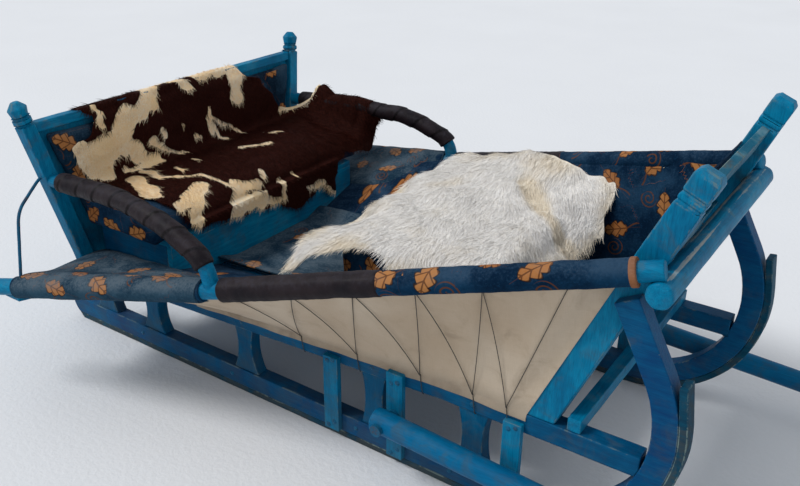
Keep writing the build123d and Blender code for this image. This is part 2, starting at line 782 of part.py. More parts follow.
sleeve_inside = POLE_DIAMETER / 2 + SLEEVE_CLEARANCE
with BuildPart() as pole_cover:
    add(sleeve(pole_at(FRONT_COVER_START), pole_at(FRONT_COVER_END), sleeve_inside, FABRIC_THICKNESS))
    add(sleeve(pole_at(REAR_COVER_START), pole_at(REAR_COVER_END), sleeve_inside, FABRIC_THICKNESS))
    add(rear_sill.part, mode=Mode.SUBTRACT)
finish_pair(pole_cover.part, "pole_cover")

with BuildPart() as pole_grip:
    add(sleeve(pole_at(FRONT_COVER_END + 2), pole_at(GRIP_END), sleeve_inside, GRIP_THICKNESS))
finish_pair(pole_grip.part, "pole_grip")

# Arm rest: a bent stick from the rear post down to the pole
arm_points = [place(point) for point in ARM_POINTS]
with BuildPart() as arm_rest:
    with BuildLine() as arm_path:
        FilletPolyline(*arm_points, radius=ARM_RADII)
    with BuildSketch(Plane(origin=arm_points[0], z_dir=(arm_points[1] - arm_points[0]).normalized())):
        Circle(ARM_DIAMETER / 2)
    sweep(path=arm_path.line)
    add(rear_post.part, mode=Mode.SUBTRACT)
    add(pole_seat.part, mode=Mode.SUBTRACT)
arm_piece = arm_rest.part.solids().sort_by(lambda solid: solid.volume)[-1]
finish_pair(Part(arm_piece.wrapped), "arm_rest")

arm_wire = arm_path.wire()
cover_from = ARM_COVER_REAR_GAP / arm_wire.length
cover_to = 1 - ARM_COVER_FRONT_GAP / arm_wire.length
cover_wire = arm_wire.trim(cover_from, cover_to)
with BuildPart() as arm_cover:
    with BuildSketch(Plane(origin=cover_wire @ 0, z_dir=cover_wire % 0)):
        Circle(ARM_DIAMETER / 2 + SLEEVE_CLEARANCE + ARM_COVER_THICKNESS)
        Circle(ARM_DIAMETER / 2 + SLEEVE_CLEARANCE, mode=Mode.SUBTRACT)
    sweep(path=cover_wire)
finish_pair(arm_cover.part, "arm_cover")

# Sides: canvas outside and lining inside, ruled from the rail up to the pole
skin_front_foot = FRONT_POST_FOOT[0] - FRONT_POST_DEPTH / 2 - SKIN_POST_GAP


def skin_front(height):
    """Station of the front edge of a side skin, along the rear edge of the front post."""
    return skin_front_foot + FRONT_LEAN * (height - FRONT_POST_FOOT[2])


def skin_section(foot_station, head_station, foot_lift, inset, thickness):
    """An upright strip from just above the rail to just under the pole, inset from the outside."""
    centre = pole_station(head_station)
    foot = Vector(along(foot_station), RUNNER_OUTER - inset, rail_top(foot_station) + foot_lift)
    head = Vector(along(head_station), centre.Y - inset, centre.Z - SKIN_TOP_DROP)
    across = Vector(0, thickness, 0)
    return make_face(Polyline(foot, head, head - across, foot - across, close=True).edges())


def side_skin(foot_lift, inset, thickness):
    """Sections of a side skin from the seat to the front post, with one at each bend of rail or pole."""
    front_foot_station = skin_front(rail_top(RAIL_LEVEL_STATION) + foot_lift)
    front_head_station = skin_front(SKIN_FRONT_HEAD)
    level_share = (RAIL_LEVEL_STATION - POLE_KNEE[0]) / (front_foot_station - POLE_KNEE[0])
    level_head_station = POLE_KNEE[0] + level_share * (front_head_station - POLE_KNEE[0])
    stations = [
        # foot, head
        (SKIN_REAR_STATION, SKIN_REAR_STATION),
        (POLE_KNEE[0], POLE_KNEE[0]),
        (RAIL_LEVEL_STATION, level_head_station),
        (front_foot_station, front_head_station),
    ]
    return [skin_section(foot, head, foot_lift, inset, thickness) for foot, head in stations]


canvas_sections = side_skin(SEAT_GAP, 0.0, CANVAS_THICKNESS)
with BuildPart() as canvas:
    loft(sections=canvas_sections, ruled=True)
finish_pair(canvas.part, "canvas")

lining_sections = side_skin(BEAM_HEIGHT + SEAT_GAP, CANVAS_THICKNESS + LINING_AIR, LINING_THICKNESS)
with BuildPart() as side_lining:
    loft(sections=lining_sections, ruled=True)
finish_pair(side_lining.part, "side_lining")

# Cloth on the floor in front of the seat
cloth_half_width = FLOOR_HALF_WIDTH - 25
cloth_rear = SEAT_FRONT_STATION + SOFT_CLEARANCE
with BuildPart() as floor_cloth:
    with BuildSketch(side_plane(cloth_half_width)):
        with BuildLine():
            Polyline(
                (along(cloth_rear), floor_top(cloth_rear) + SEAT_GAP),
                (along(RAIL_LEVEL_STATION), floor_top(RAIL_LEVEL_STATION) + SEAT_GAP),
                (along(FLOOR_FRONT_STATION), floor_top(FLOOR_FRONT_STATION) + SEAT_GAP),
                (along(FLOOR_FRONT_STATION), floor_top(FLOOR_FRONT_STATION) + SEAT_GAP + CLOTH_THICKNESS),
                (along(RAIL_LEVEL_STATION), floor_top(RAIL_LEVEL_STATION) + SEAT_GAP + CLOTH_THICKNESS),
                (along(cloth_rear), floor_top(cloth_rear) + SEAT_GAP + CLOTH_THICKNESS),
                close=True,
            )
        make_face()
    extrude(amount=2 * cloth_half_width)
finish(floor_cloth.part, "floor_cloth")

# Front wall: boards between the posts, lining on the inside
wall_foot = Vector(front_foot.X, 0, front_foot.Z)
wall_axis = Vector(FRONT_LEAN, 0, 1).normalized()
with BuildPart() as front_boards:
    for up, width in FRONT_BOARDS:
        with BuildSketch(leaning_plane(wall_foot + wall_axis * up, wall_axis)):
            Rectangle(FRONT_BOARD_THICKNESS, 2 * FRONT_POST_FOOT[1] - 20)
        extrude(amount=width)
    add(front_post.part, mode=Mode.SUBTRACT)
    add(mirror(front_post.part, about=Plane.XZ), mode=Mode.SUBTRACT)
inner_boards = [solid for solid in front_boards.part.solids() if abs(solid.center().Y) < 50]
finish(Part(Compound(inner_boards).wrapped), "front_boards")

with BuildPart() as front_lining:
    for up, post_out in [(FRONT_LINING_LOW, FRONT_POST_FOOT[1]), (FRONT_LINING_HIGH, FRONT_POST_TOP[1])]:
        with BuildSketch(leaning_plane(wall_foot + wall_axis * up, wall_axis)):
            with Locations((-post_half_depth(up) - LINING_THICKNESS / 2, 0)):
                Rectangle(LINING_THICKNESS, 2 * (post_out - FRONT_POST_WIDTH / 2))
    loft(ruled=True)
finish(front_lining.part, "front_lining")


# Wing: a padded deck between the seat and the pole
pole_yaw = abs(pole_rear.Y / pole_rear.X)
pole_cover_reach = (sleeve_inside + FABRIC_THICKNESS) * hypot(1, pole_yaw)


def wing_section(station, inner_height):
    """A flat strip from beside the seat to the pole's cover."""
    centre = pole_station(station)
    outer = centre.Y - pole_cover_reach - SEAT_GAP
    inner = SEAT_HALF_WIDTH + WING_CLEARANCE
    low_inner = Vector(along(station), inner, inner_height)
    low_outer = Vector(along(station), outer, centre.Z - WING_THICKNESS / 2)
    rise = Vector(0, 0, WING_THICKNESS)
    return make_face(Polyline(low_inner, low_outer, low_outer + rise, low_inner + rise, close=True).edges())


wing_rear = wing_section(sill_front + SOFT_CLEARANCE, WING_INNER_REAR)
wing_front = wing_section(WING_FRONT_STATION, WING_INNER_FRONT)
with BuildPart() as wing:
    loft(sections=[wing_rear, wing_front], ruled=True)
finish_pair(wing.part, "wing")

# Stay rod from the back of the rear post out to the tail of the pole
stay_head_out = REAR_POST_FOOT[1] + post_flare * (STAY_HEAD_HEIGHT - REAR_POST_FOOT[2])
stay_head = place((back_station(STAY_HEAD_HEIGHT), stay_head_out, STAY_HEAD_HEIGHT))
stay_foot = pole_station(STAY_FOOT_STATION)
with BuildPart() as stay:
    with BuildLine() as stay_path:
        FilletPolyline(
            stay_head,
            stay_head + STAY_REACH,
            Vector(stay_foot.X, stay_foot.Y - STAY_BEND_INSET, STAY_BEND_HEIGHT),
            stay_foot,
            radius=[STAY_HEAD_BEND_RADIUS, STAY_BEND_RADIUS],
        )
    with BuildSketch(Plane(origin=stay_head, z_dir=STAY_REACH.normalized())):
        Circle(STAY_DIAMETER / 2)
    sweep(path=stay_path.line)
    add(rear_post.part, mode=Mode.SUBTRACT)
    add(pole_seat.part, mode=Mode.SUBTRACT)
    add(pole_cover.part, mode=Mode.SUBTRACT)
stay_piece = stay.part.solids().sort_by(lambda solid: solid.volume)[-1]
finish_pair(Part(stay_piece.wrapped), "stay")

# Shaft: a tapering pole pivoted on the middle plate, its tip on the ground when unhitched
pivot = Vector(along(PIVOT_STATION), SHAFT_CENTRE_OUT, SHAFT_PIVOT_HEIGHT)
shaft_axis = Vector(cos(radians(SHAFT_DROP)), 0, -sin(radians(SHAFT_DROP)))
shaft_plane = Plane(origin=pivot, x_dir=shaft_axis, z_dir=(0, -1, 0))


def shaft_radius(distance):
    """Radius of the shaft at a distance forward of its pivot, tapering as far as the tug notch."""
    share = max(distance, 0) / (SHAFT_LENGTH - TUG_NOTCH_FROM_TIP)
    return (SHAFT_DIAMETER + (SHAFT_TIP_DIAMETER - SHAFT_DIAMETER) * share) / 2


notch_front = SHAFT_LENGTH - TUG_NOTCH_FROM_TIP
notch_rear = notch_front - TUG_NOTCH_LENGTH
notch_radius = shaft_radius(notch_front) - TUG_NOTCH_DEPTH
with BuildPart() as shaft:
    with BuildSketch(shaft_plane):
        with BuildLine():
            Polyline(
                (-SHAFT_HEEL, 0),
                (-SHAFT_HEEL, shaft_radius(0) - HEEL_CHAMFER),
                (-SHAFT_HEEL + HEEL_CHAMFER, shaft_radius(0)),
                (0, shaft_radius(0)),
                (notch_rear, shaft_radius(notch_rear)),
                (notch_rear + TUG_NOTCH_SLOPE, notch_radius),
                (notch_front - TUG_NOTCH_SLOPE, notch_radius),
                (notch_front, SHAFT_TIP_DIAMETER / 2),
                (SHAFT_LENGTH - TIP_CHAMFER, SHAFT_TIP_DIAMETER / 2),
                (SHAFT_LENGTH, SHAFT_TIP_DIAMETER / 2 - TIP_CHAMFER),
                (SHAFT_LENGTH, 0),
                close=True,
            )
        make_face()
    revolve(axis=Axis(pivot, shaft_axis))
    with BuildSketch(side_plane(SHAFT_CENTRE_OUT + SHAFT_DIAMETER)):
        with Locations((pivot.X, pivot.Z)):
            Circle(PIVOT_DIAMETER / 2 + PIVOT_PLAY)
    extrude(amount=2 * SHAFT_DIAMETER, mode=Mode.SUBTRACT)
finish_pair(shaft.part, "shaft")

# Bolt that the shaft turns on: head outside, spacer against the plate, nut behind it
bolt_outer = SHAFT_CENTRE_OUT + SHAFT_DIAMETER / 2 + PIVOT_SIDE_PLAY
spacer_outer = SHAFT_CENTRE_OUT - SHAFT_DIAMETER / 2 - PIVOT_SIDE_PLAY
spacer_length = spacer_outer - RUNNER_OUTER - PLATE_THICKNESS
bolt_rows = [
    # outer end, length, diameter
    (bolt_outer + PIVOT_HEAD_LENGTH, PIVOT_HEAD_LENGTH, PIVOT_HEAD_DIAMETER),
    (bolt_outer, bolt_outer - RUNNER_OUTER + PIVOT_HEAD_LENGTH, PIVOT_DIAMETER),
    (spacer_outer, spacer_length, PIVOT_HEAD_DIAMETER),
    (RUNNER_OUTER, PIVOT_HEAD_LENGTH, PIVOT_HEAD_DIAMETER),
]
with BuildPart() as pivot_bolt:
    for start, length, diameter in bolt_rows:
        with BuildSketch(side_plane(start)):
            with Locations((pivot.X, pivot.Z)):
                Circle(diameter / 2)
        extrude(amount=length)
finish_pair(pivot_bolt.part, "pivot_bolt")

# Driver's cushion on the floor cloth
cushion_x = along(DRIVER_CUSHION_AT[0])
cushion_base = floor_top(DRIVER_CUSHION_AT[0]) + CLOTH_THICKNESS + 2 * SEAT_GAP
floor_normal = (-FLOOR_SLOPE, 0, 1)
with BuildPart() as driver_cushion:
    with BuildSketch(Plane(origin=(cushion_x, DRIVER_CUSHION_AT[1], cushion_base), z_dir=floor_normal)):
        RectangleRounded(DRIVER_CUSHION_SIZE[0], DRIVER_CUSHION_SIZE[1], 80)
    extrude(amount=DRIVER_CUSHION_SIZE[2])
    fillet(driver_cushion.edges().group_by(Axis.Z)[-1], CUSHION_ROUND)
finish(driver_cushion.part, "driver_cushion")

# Sheepskin over the cushion
fleece_base = cushion_base + DRIVER_CUSHION_SIZE[2] * 0.45
with BuildPart() as sheepskin:
    with BuildSketch(Plane(origin=(cushion_x, DRIVER_CUSHION_AT[1], fleece_base), z_dir=floor_normal)):
        RectangleRounded(FLEECE_SIZE[0], FLEECE_SIZE[1], 100)
    extrude(amount=DRIVER_CUSHION_SIZE[2] * 0.55 + FLEECE_THICKNESS)
    fillet(sheepskin.edges().group_by(Axis.Z)[-1], CUSHION_ROUND + 20)
    with BuildSketch(Plane(origin=(cushion_x, DRIVER_CUSHION_AT[1], cushion_base), z_dir=floor_normal)):
        RectangleRounded(DRIVER_CUSHION_SIZE[0] + 2, DRIVER_CUSHION_SIZE[1] + 2, 81)
    extrude(amount=DRIVER_CUSHION_SIZE[2] + SOFT_CLEARANCE, mode=Mode.SUBTRACT)
finish(sheepskin.part, "sheepskin")

# Cow hide over the back rail, down the back, over the seat and its front edge
hide_over = BACK_RAIL_TOP + SOFT_CLEARANCE
hide_front = SEAT_FRONT_STATION + SOFT_CLEARANCE
pad_top_rear = SEAT_BOARD_TOP + SEAT_PAD_REAR_HEIGHT
pad_front_face = -BACK_RAIL_THICKNESS / 2 + BACK_BOARD_THICKNESS + BACK_PAD_THICKNESS + SOFT_CLEARANCE + 4


def hide_outline(lift):
    """The line of the hide in X and Z, raised off what it lies on."""
    behind = BACK_RAIL_THICKNESS / 2 + SOFT_CLEARANCE + lift
    return [
        (along(back_station(HIDE_BACK_HEM)) - behind, HIDE_BACK_HEM),
        (along(back_station(BACK_RAIL_TOP)) - behind, hide_over + lift),
        (along(back_station(BACK_RAIL_TOP)) + pad_front_face + lift, hide_over + lift),
        (along(SEAT_REAR_STATION) + 12 + lift, pad_top_rear + SOFT_CLEARANCE + lift),
        (along(hide_front) + lift, SEAT_BOARD_TOP + SEAT_PAD_FRONT_HEIGHT + SOFT_CLEARANCE + lift),
        (along(hide_front) + lift, SEAT_BOARD_TOP - HIDE_FRONT_DROP),
    ]


with BuildPart() as cow_hide:
    with BuildSketch(side_plane(HIDE_LEFT)):
        with BuildLine():
            Polyline(*hide_outline(0), *reversed(hide_outline(HIDE_THICKNESS)), close=True)
        make_face()
    extrude(amount=HIDE_LEFT - HIDE_RIGHT)
finish(cow_hide.part, "cow_hide")
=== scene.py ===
"""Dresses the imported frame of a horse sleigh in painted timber, velour, leather, canvas, wool and hide."""

import sys

import json
import logging
import math
from dataclasses import dataclass, field
from enum import Enum
from typing import Any, Callable, Iterable, Optional, Sequence, Union

import bmesh
import bpy
from mathutils import Matrix, Vector, noise
from mathutils.bvhtree import BVHTree

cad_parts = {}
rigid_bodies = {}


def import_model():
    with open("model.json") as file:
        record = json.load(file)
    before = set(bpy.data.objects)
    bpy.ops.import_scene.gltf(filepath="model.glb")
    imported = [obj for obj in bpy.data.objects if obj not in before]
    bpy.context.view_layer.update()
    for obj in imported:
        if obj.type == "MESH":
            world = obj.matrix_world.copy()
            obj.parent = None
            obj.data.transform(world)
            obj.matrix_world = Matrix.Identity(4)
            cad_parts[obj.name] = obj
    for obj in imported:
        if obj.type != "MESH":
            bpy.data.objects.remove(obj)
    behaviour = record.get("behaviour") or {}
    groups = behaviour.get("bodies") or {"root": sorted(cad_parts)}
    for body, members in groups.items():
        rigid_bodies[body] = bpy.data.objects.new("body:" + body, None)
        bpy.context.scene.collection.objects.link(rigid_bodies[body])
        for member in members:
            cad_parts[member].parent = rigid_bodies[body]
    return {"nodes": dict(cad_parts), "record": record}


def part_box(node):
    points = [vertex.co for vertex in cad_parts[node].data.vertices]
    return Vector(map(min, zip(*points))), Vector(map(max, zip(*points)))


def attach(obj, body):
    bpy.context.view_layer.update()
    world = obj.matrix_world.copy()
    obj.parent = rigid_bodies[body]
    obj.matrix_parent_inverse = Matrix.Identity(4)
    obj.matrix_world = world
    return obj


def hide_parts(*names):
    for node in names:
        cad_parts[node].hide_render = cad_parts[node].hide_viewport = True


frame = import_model()
bpy.context.view_layer.update()
LOG = logging.getLogger("sleigh")

Number = Union[float, int]
Place = Sequence[float]


class Side(Enum):
    """Which side of the sleigh a piece is on."""

    RIGHT = -1
    LEFT = 1

    @property
    def word(self) -> str:
        """The side's name as the frame's nodes spell it."""
        return self.name.lower()


class Grain(Enum):
    """The axis that the fibres and brush strokes of a painted piece follow."""

    LENGTHWISE = (1.6, 26.0, 26.0)
    UPRIGHT = (26.0, 26.0, 1.6)
    ACROSS = (26.0, 1.6, 26.0)


@dataclass(frozen=True)
class Layout:
    """Turns stations, measured forward from the runner tails in millimetres, into the frame's metres."""

    half_length: float

    def place(self, station: float, out: float, height: float, side: Side = Side.LEFT) -> Vector:
        """The point at a station, a distance from the middle and a height.

        Args:
            station: Millimetres forward of the runner tails.
            out: Millimetres from the middle of the sleigh.
            height: Millimetres above the ground.
            side: The side that the distance is measured on.

        Returns:
            The point in metres.
        """
        return Vector((station / 1000.0 - self.half_length, side.value * out / 1000.0, height / 1000.0))


LAYOUT = Layout(2.21065)


# Shader maths


@dataclass(frozen=True)
class Level:
    """A value that varies over a surface: one output socket, with the arithmetic that adds its nodes."""

    recipe: "Recipe"
    socket: bpy.types.NodeSocket

    def _sum(self, operation: str, *values: "Level | Number") -> "Level":
        """The result of one Math node on the values in order."""
        return self.recipe.node("ShaderNodeMath", {"operation": operation}, dict(enumerate(values)))

    def __add__(self, other: "Level | Number") -> "Level":
        """This plus another."""
        return self._sum("ADD", self, other)

    __radd__ = __add__

    def __sub__(self, other: "Level | Number") -> "Level":
        """This less another."""
        return self._sum("SUBTRACT", self, other)

    def __rsub__(self, other: Number) -> "Level":
        """A number less this."""
        return self._sum("SUBTRACT", other, self)

    def __mul__(self, other: "Level | Number") -> "Level":
        """This times another."""
        return self._sum("MULTIPLY", self, other)

    __rmul__ = __mul__

    def __truediv__(self, other: "Level | Number") -> "Level":
        """This divided by another."""
        return self._sum("DIVIDE", self, other)

    def __pow__(self, power: Number) -> "Level":
        """This raised to a power."""
        return self._sum("POWER", self, power)

    def wave(self) -> "Level":
        """The sine of this, in radians."""
        return self._sum("SINE", self)

    def size(self) -> "Level":
        """This without its sign."""
        return self._sum("ABSOLUTE", self)

    def part(self) -> "Level":
        """The fractional part."""
        return self._sum("FRACT", self)

    def root(self) -> "Level":
        """The square root."""
        return self._sum("SQRT", self)

    def bearing(self, other: "Level") -> "Level":
        """The angle whose tangent is this over another."""
        return self._sum("ARCTAN2", self, other)

    def at_least(self, floor: "Level | Number") -> "Level":
        """The larger of this and another."""
        return self._sum("MAXIMUM", self, floor)

    def at_most(self, ceiling: "Level | Number") -> "Level":
        """The smaller of this and another."""
        return self._sum("MINIMUM", self, ceiling)

    def above(self, edge: float, soft: float) -> "Level":
        """A smooth step from 0 to 1 as this passes an edge.

        Args:
            edge: The value half way up the step.
            soft: Half the width of the step.

        Returns:
            The step, from 0 to 1.
        """
        settings = {"interpolation_type": "SMOOTHSTEP", "clamp": True}
        values = {0: self, 1: edge - soft, 2: edge + soft, 3: 0.0, 4: 1.0}
        return self.recipe.node("ShaderNodeMapRange", settings, values)

    def below(self, edge: float, soft: float) -> "Level":
        """A smooth step from 1 to 0 as this passes an edge."""
        return 1 - self.above(edge, soft)


class Recipe:
    """The nodes of one material, made one at a time."""

    def __init__(self, name: str) -> None:
        """Starts an empty material.

        Args:
            name: The material's name.
        """
        self.material = bpy.data.materials.new(name)
        self.material.use_nodes = True
        self.tree = self.material.node_tree
        self.tree.nodes.clear()
        self.output = self.tree.nodes.new("ShaderNodeOutputMaterial")

    def node(
        self,
        kind: str,
        settings: Optional[dict[str, Any]] = None,
        values: Optional[dict[int | str, Any]] = None,
        output: int | str = 0,
    ) -> Level:
        """Makes a node.

        Args:
            kind: The node's type.
            settings: Its own settings, and a ramp's stops, which are set before its sockets.
            values: Numbers, tuples or levels for its sockets, by index or name.
            output: Which output the result stands for.

        Returns:
            The chosen output.
        """
        made = self.tree.nodes.new(kind)
        for name, value in (settings or {}).items():
            if name == "stops":
                self._set_stops(made.color_ramp, value)
            else:
                setattr(made, name, value)
        for name, value in (values or {}).items():
            if isinstance(value, Level):
                self.tree.links.new(value.socket, made.inputs[name])
            else:
                made.inputs[name].default_value = value
        return Level(self, made.outputs[output])

    @staticmethod
    def _set_stops(ramp: bpy.types.ColorRamp, stops: Sequence[tuple[float, Place]]) -> None:
        """Gives a ramp its stops as (position, colour) pairs."""
        while len(ramp.elements) < len(stops):
            ramp.elements.new(0.5)
        for element, (position, colour) in zip(ramp.elements, stops):
            element.position = position
            element.color = (*colour[:3], 1.0)

    def here(self) -> Level:
        """The point on the object, in metres."""
        return self.node("ShaderNodeTexCoord", output="Object")

    def mark(self, name: str, output: str = "Vector") -> Level:
        """A named attribute of the mesh."""
        return self.node("ShaderNodeAttribute", {"attribute_name": name}, output=output)

    def axes(self, vector: Level) -> tuple[Level, Level, Level]:
        """The three numbers of a vector."""
        made = self.tree.nodes.new("ShaderNodeSeparateXYZ")
        self.tree.links.new(vector.socket, made.inputs[0])
        return Level(self, made.outputs[0]), Level(self, made.outputs[1]), Level(self, made.outputs[2])

    def stretched(self, where: Level, scale: Place) -> Level:
        """A vector scaled for a pattern."""
        return self.node("ShaderNodeMapping", None, {"Vector": where, "Scale": tuple(scale)})

    def mottle(
        self, where: Level, scale: float, detail: float = 3.0, rough: float = 0.55, warp: float = 0.0
    ) -> Level:
        """Cloudy noise from 0 to 1.

        Args:
            where: The point that it is read at.
            scale: How many clouds a metre.
            detail: How many finer layers it has.
            rough: How strong the finer layers are.
            warp: How far it is distorted.

        Returns:
            The noise.
        """
        values = {"Vector": where, "Scale": scale, "Detail": detail, "Roughness": rough, "Distortion": warp}
        return self.node("ShaderNodeTexNoise", None, values)

    def cells(self, where: Level, scale: float) -> Level:
        """Distance to the nearest of scattered points."""
        return self.node("ShaderNodeTexVoronoi", None, {"Vector": where, "Scale": scale}, "Distance")

    def blend(self, share: Level | Number, first: Level | Place, second: Level | Place) -> Level:
        """A colour between two others.

        Args:
            share: 0 for the first colour, 1 for the second.
            first: The first colour.
            second: The second colour.

        Returns:
            The mixed colour.
        """
        sockets = {0: share, 6: self._colour(first), 7: self._colour(second)}
        return self.node("ShaderNodeMix", {"data_type": "RGBA"}, sockets, 2)

    @staticmethod
    def _colour(value: Level | Place) -> Level | tuple[float, ...]:
        """A colour with its fourth number."""
        return value if isinstance(value, Level) else (*value[:3], 1.0)

    def facing_up(self) -> Level:
        """How much the surface faces the sky, from -1 to 1."""
        return self.axes(self.node("ShaderNodeNewGeometry", output="Normal"))[2]

    def finish(
        self,
        colour: Level | Place,
        rough: Level | Number,
        relief: Level,
        depth: float,
        **constants: Any,
    ) -> bpy.types.Material:
        """Ends the material with its shader.

        Args:
            colour: The base colour.
            rough: The roughness.
            relief: A height from 0 to 1, for the bump.
            depth: What 1 in the relief is in metres.
            constants: Values of other sockets of the shader, by name with _ for a space.

        Returns:
            The finished material.
        """
        values: dict[int | str, Any] = {"Base Color": self._colour(colour), "Roughness": rough}
        for name, value in constants.items():
            values[name.replace("_", " ")] = value
        bump = {"Strength": 1.0, "Distance": depth, "Height": relief}
        values["Normal"] = self.node("ShaderNodeBump", None, bump)
        shader = self.node("ShaderNodeBsdfPrincipled", None, values)
        self.tree.links.new(shader.socket, self.output.inputs["Surface"])
        return self.material


# Finishes


@dataclass(frozen=True)
class WornPaint:
    """Thick house paint on rough timber, chalky and faded on its upper faces, where painted light also
    lightens it, darker towards the ground and scuffed at the edges.
    """

    name: str
    fresh: Place = (0.001, 0.235, 0.420)
    deep: Place = (0.001, 0.104, 0.225)
    grain: Grain = Grain.LENGTHWISE
    dirt: float = 0.35
    chalk: float = 0.25
    chips: float = 0.5
    shine: float = 0.30
    scuff: Place = (0.165, 0.225, 0.215)
    wood: Place = (0.20, 0.155, 0.105)

    def make(self) -> bpy.types.Material:
        """The material."""
        r = Recipe(self.name)
        here = r.here()
        fibre = r.stretched(here, self.grain.value)
        strokes = r.mottle(fibre, 3.2, 4.0, 0.6)
        streaks = r.mottle(r.stretched(here, [k * 3.0 for k in self.grain.value]), 5.0, 2.0, 0.6)
        patches = r.mottle(here, 5.5, 4.0, 0.62, 0.4)
        grime = r.mottle(here, 16.0, 5.0, 0.68, 0.6)
        edge = r.mark("worn_edge", "Fac")
        up = r.facing_up()

        tone = (patches * 0.75 + strokes * 0.5 - 0.12).above(0.52, 0.26)
        colour = r.blend(tone, self.deep, self.fresh)
        colour = r.blend((streaks.above(0.56, 0.16)) * 0.35, colour, tuple(k * 0.55 for k in self.deep))
        # Chalky patches, more of them on the upper faces: chalking paint, and painted light on the tops.
        chalky_and_lit = (patches * 0.6 + grime * 0.6).above(0.68, 0.10) * (up.above(0.35, 0.45) * 0.8 + 0.2)
        colour = r.blend(chalky_and_lit * self.chalk, colour, (0.16, 0.30, 0.36))
        # Dark patches, more of them towards the ground.
        low = r.axes(here)[2].below(0.12, 0.12)
        dark_patches = (grime + low * 0.18).above(0.60, 0.12) * self.dirt
        colour = r.blend(dark_patches, colour, (0.060, 0.062, 0.055))
        rubbed = ((edge * 0.42 + grime * 0.75 + streaks * 0.35) - 0.30).above(0.72, 0.06) * self.chips
        colour = r.blend(rubbed, colour, self.scuff)
        bare = ((edge * 0.34 + grime * 0.85 + streaks * 0.35) - 0.30).above(0.84, 0.04) * self.chips
        colour = r.blend(bare, colour, self.wood)

        rough = strokes * 0.22 + dark_patches * 0.35 + rubbed * 0.3 + chalky_and_lit * 0.3 + self.shine
        relief = strokes * 0.55 + streaks * 0.25 + r.mottle(here, 34.0, 2.0) * 0.5 - bare * 0.35
        return r.finish(colour, rough.at_most(0.95), relief, 0.0016, Specular_IOR_Level=0.07)


@dataclass(frozen=True)
class LeafVelour:
    """Dark blue velour with rust leaves, dark veins and curling tendrils, its nap rubbed grey and given
    painted sheen on its upper faces.
    """

    name: str
    ground: Place = (0.002, 0.013, 0.035)
    light: Place = (0.003, 0.038, 0.090)
    frost: float = 0.26
    rust: Place = (0.245, 0.075, 0.018)
    orange: Place = (0.430, 0.185, 0.060)

    def make(self) -> bpy.types.Material:
        """The material."""
        r = Recipe(self.name)
        here = r.here()
        x, y, tone = r.axes(r.mark("leaf"))
        side = y.size()
        printed = tone.above(-0.1, 0.1)

        reach = (1 - x * x).at_least(0.0) ** 0.55
        lobes = (x * 5.2 + side * 2.6).wave().size()
        width = reach * (lobes * 0.26 + 0.42) * (1 - x * 0.22)
        inside = (width - side).above(0.0, 0.035) * printed
        rim = (width - side).size().below(0.055, 0.035) * reach.above(0.1, 0.08) * printed
        veins = ((x - side * 0.9) * 10.4).wave().above(0.80, 0.14) + side.below(0.045, 0.02)
        stalk = (y - (x * 1.7 + 1.7).wave() * 0.32).size().below(0.060, 0.03)
        stalk = stalk * x.above(-2.15, 0.06) * x.below(-0.90, 0.06) * printed
        across = x - 0.35
        aside = y - 1.42
        distance = (across * across + aside * aside).root()
        turn = aside.bearing(across) / (2 * math.pi)
        curl = ((distance / 0.34 - turn).part() - 0.5).size().below(0.155, 0.05)
        curl = curl * distance.below(0.72, 0.03) * distance.above(0.10, 0.03) * printed

        clouds = r.mottle(here, 9.0, 4.0, 0.6, 0.4)
        nap = r.mottle(here, 160.0, 3.0, 0.7)
        colour = r.blend(clouds.above(0.52, 0.2), self.ground, self.light)
        colour = r.blend((nap.above(0.6, 0.12)) * 0.25, colour, tuple(k * 1.9 for k in self.light))
        colour = r.blend((curl + stalk).at_most(1.0) * 0.9, colour, (0.115, 0.040, 0.014))
        leaf = r.blend((clouds * 0.5 + tone * 0.5 + nap * 0.2).above(0.55, 0.25), self.rust, self.orange)
        leaf = r.blend(veins.at_most(1.0) * 0.75, leaf, (0.060, 0.018, 0.008))
        colour = r.blend(inside, colour, leaf)
        colour = r.blend(rim * 0.85, colour, (0.010, 0.006, 0.006))
        # Grey on the upper faces: rubbed, frosted nap, and painted sheen where the sky lights the tops.
        upper = r.facing_up().above(0.25, 0.5) * 0.85 + 0.1
        rubbed = (clouds * 0.65 + nap * 0.45).above(0.56, 0.13) * upper * self.frost
        colour = r.blend(rubbed * 0.8, colour, (0.125, 0.150, 0.172))

        relief = nap * 0.5 + r.mottle(here, 45.0, 2.0) * 0.8 + r.mottle(here, 420.0, 2.0) * 0.3
        return r.finish(
            colour,
            nap * 0.2 + 0.72,
            relief,
            0.0016,
            Specular_IOR_Level=0.03,
            Sheen_Weight=0.02,
            Sheen_Roughness=0.45,
            Sheen_Tint=(0.55, 0.68, 0.80, 1.0),
        )


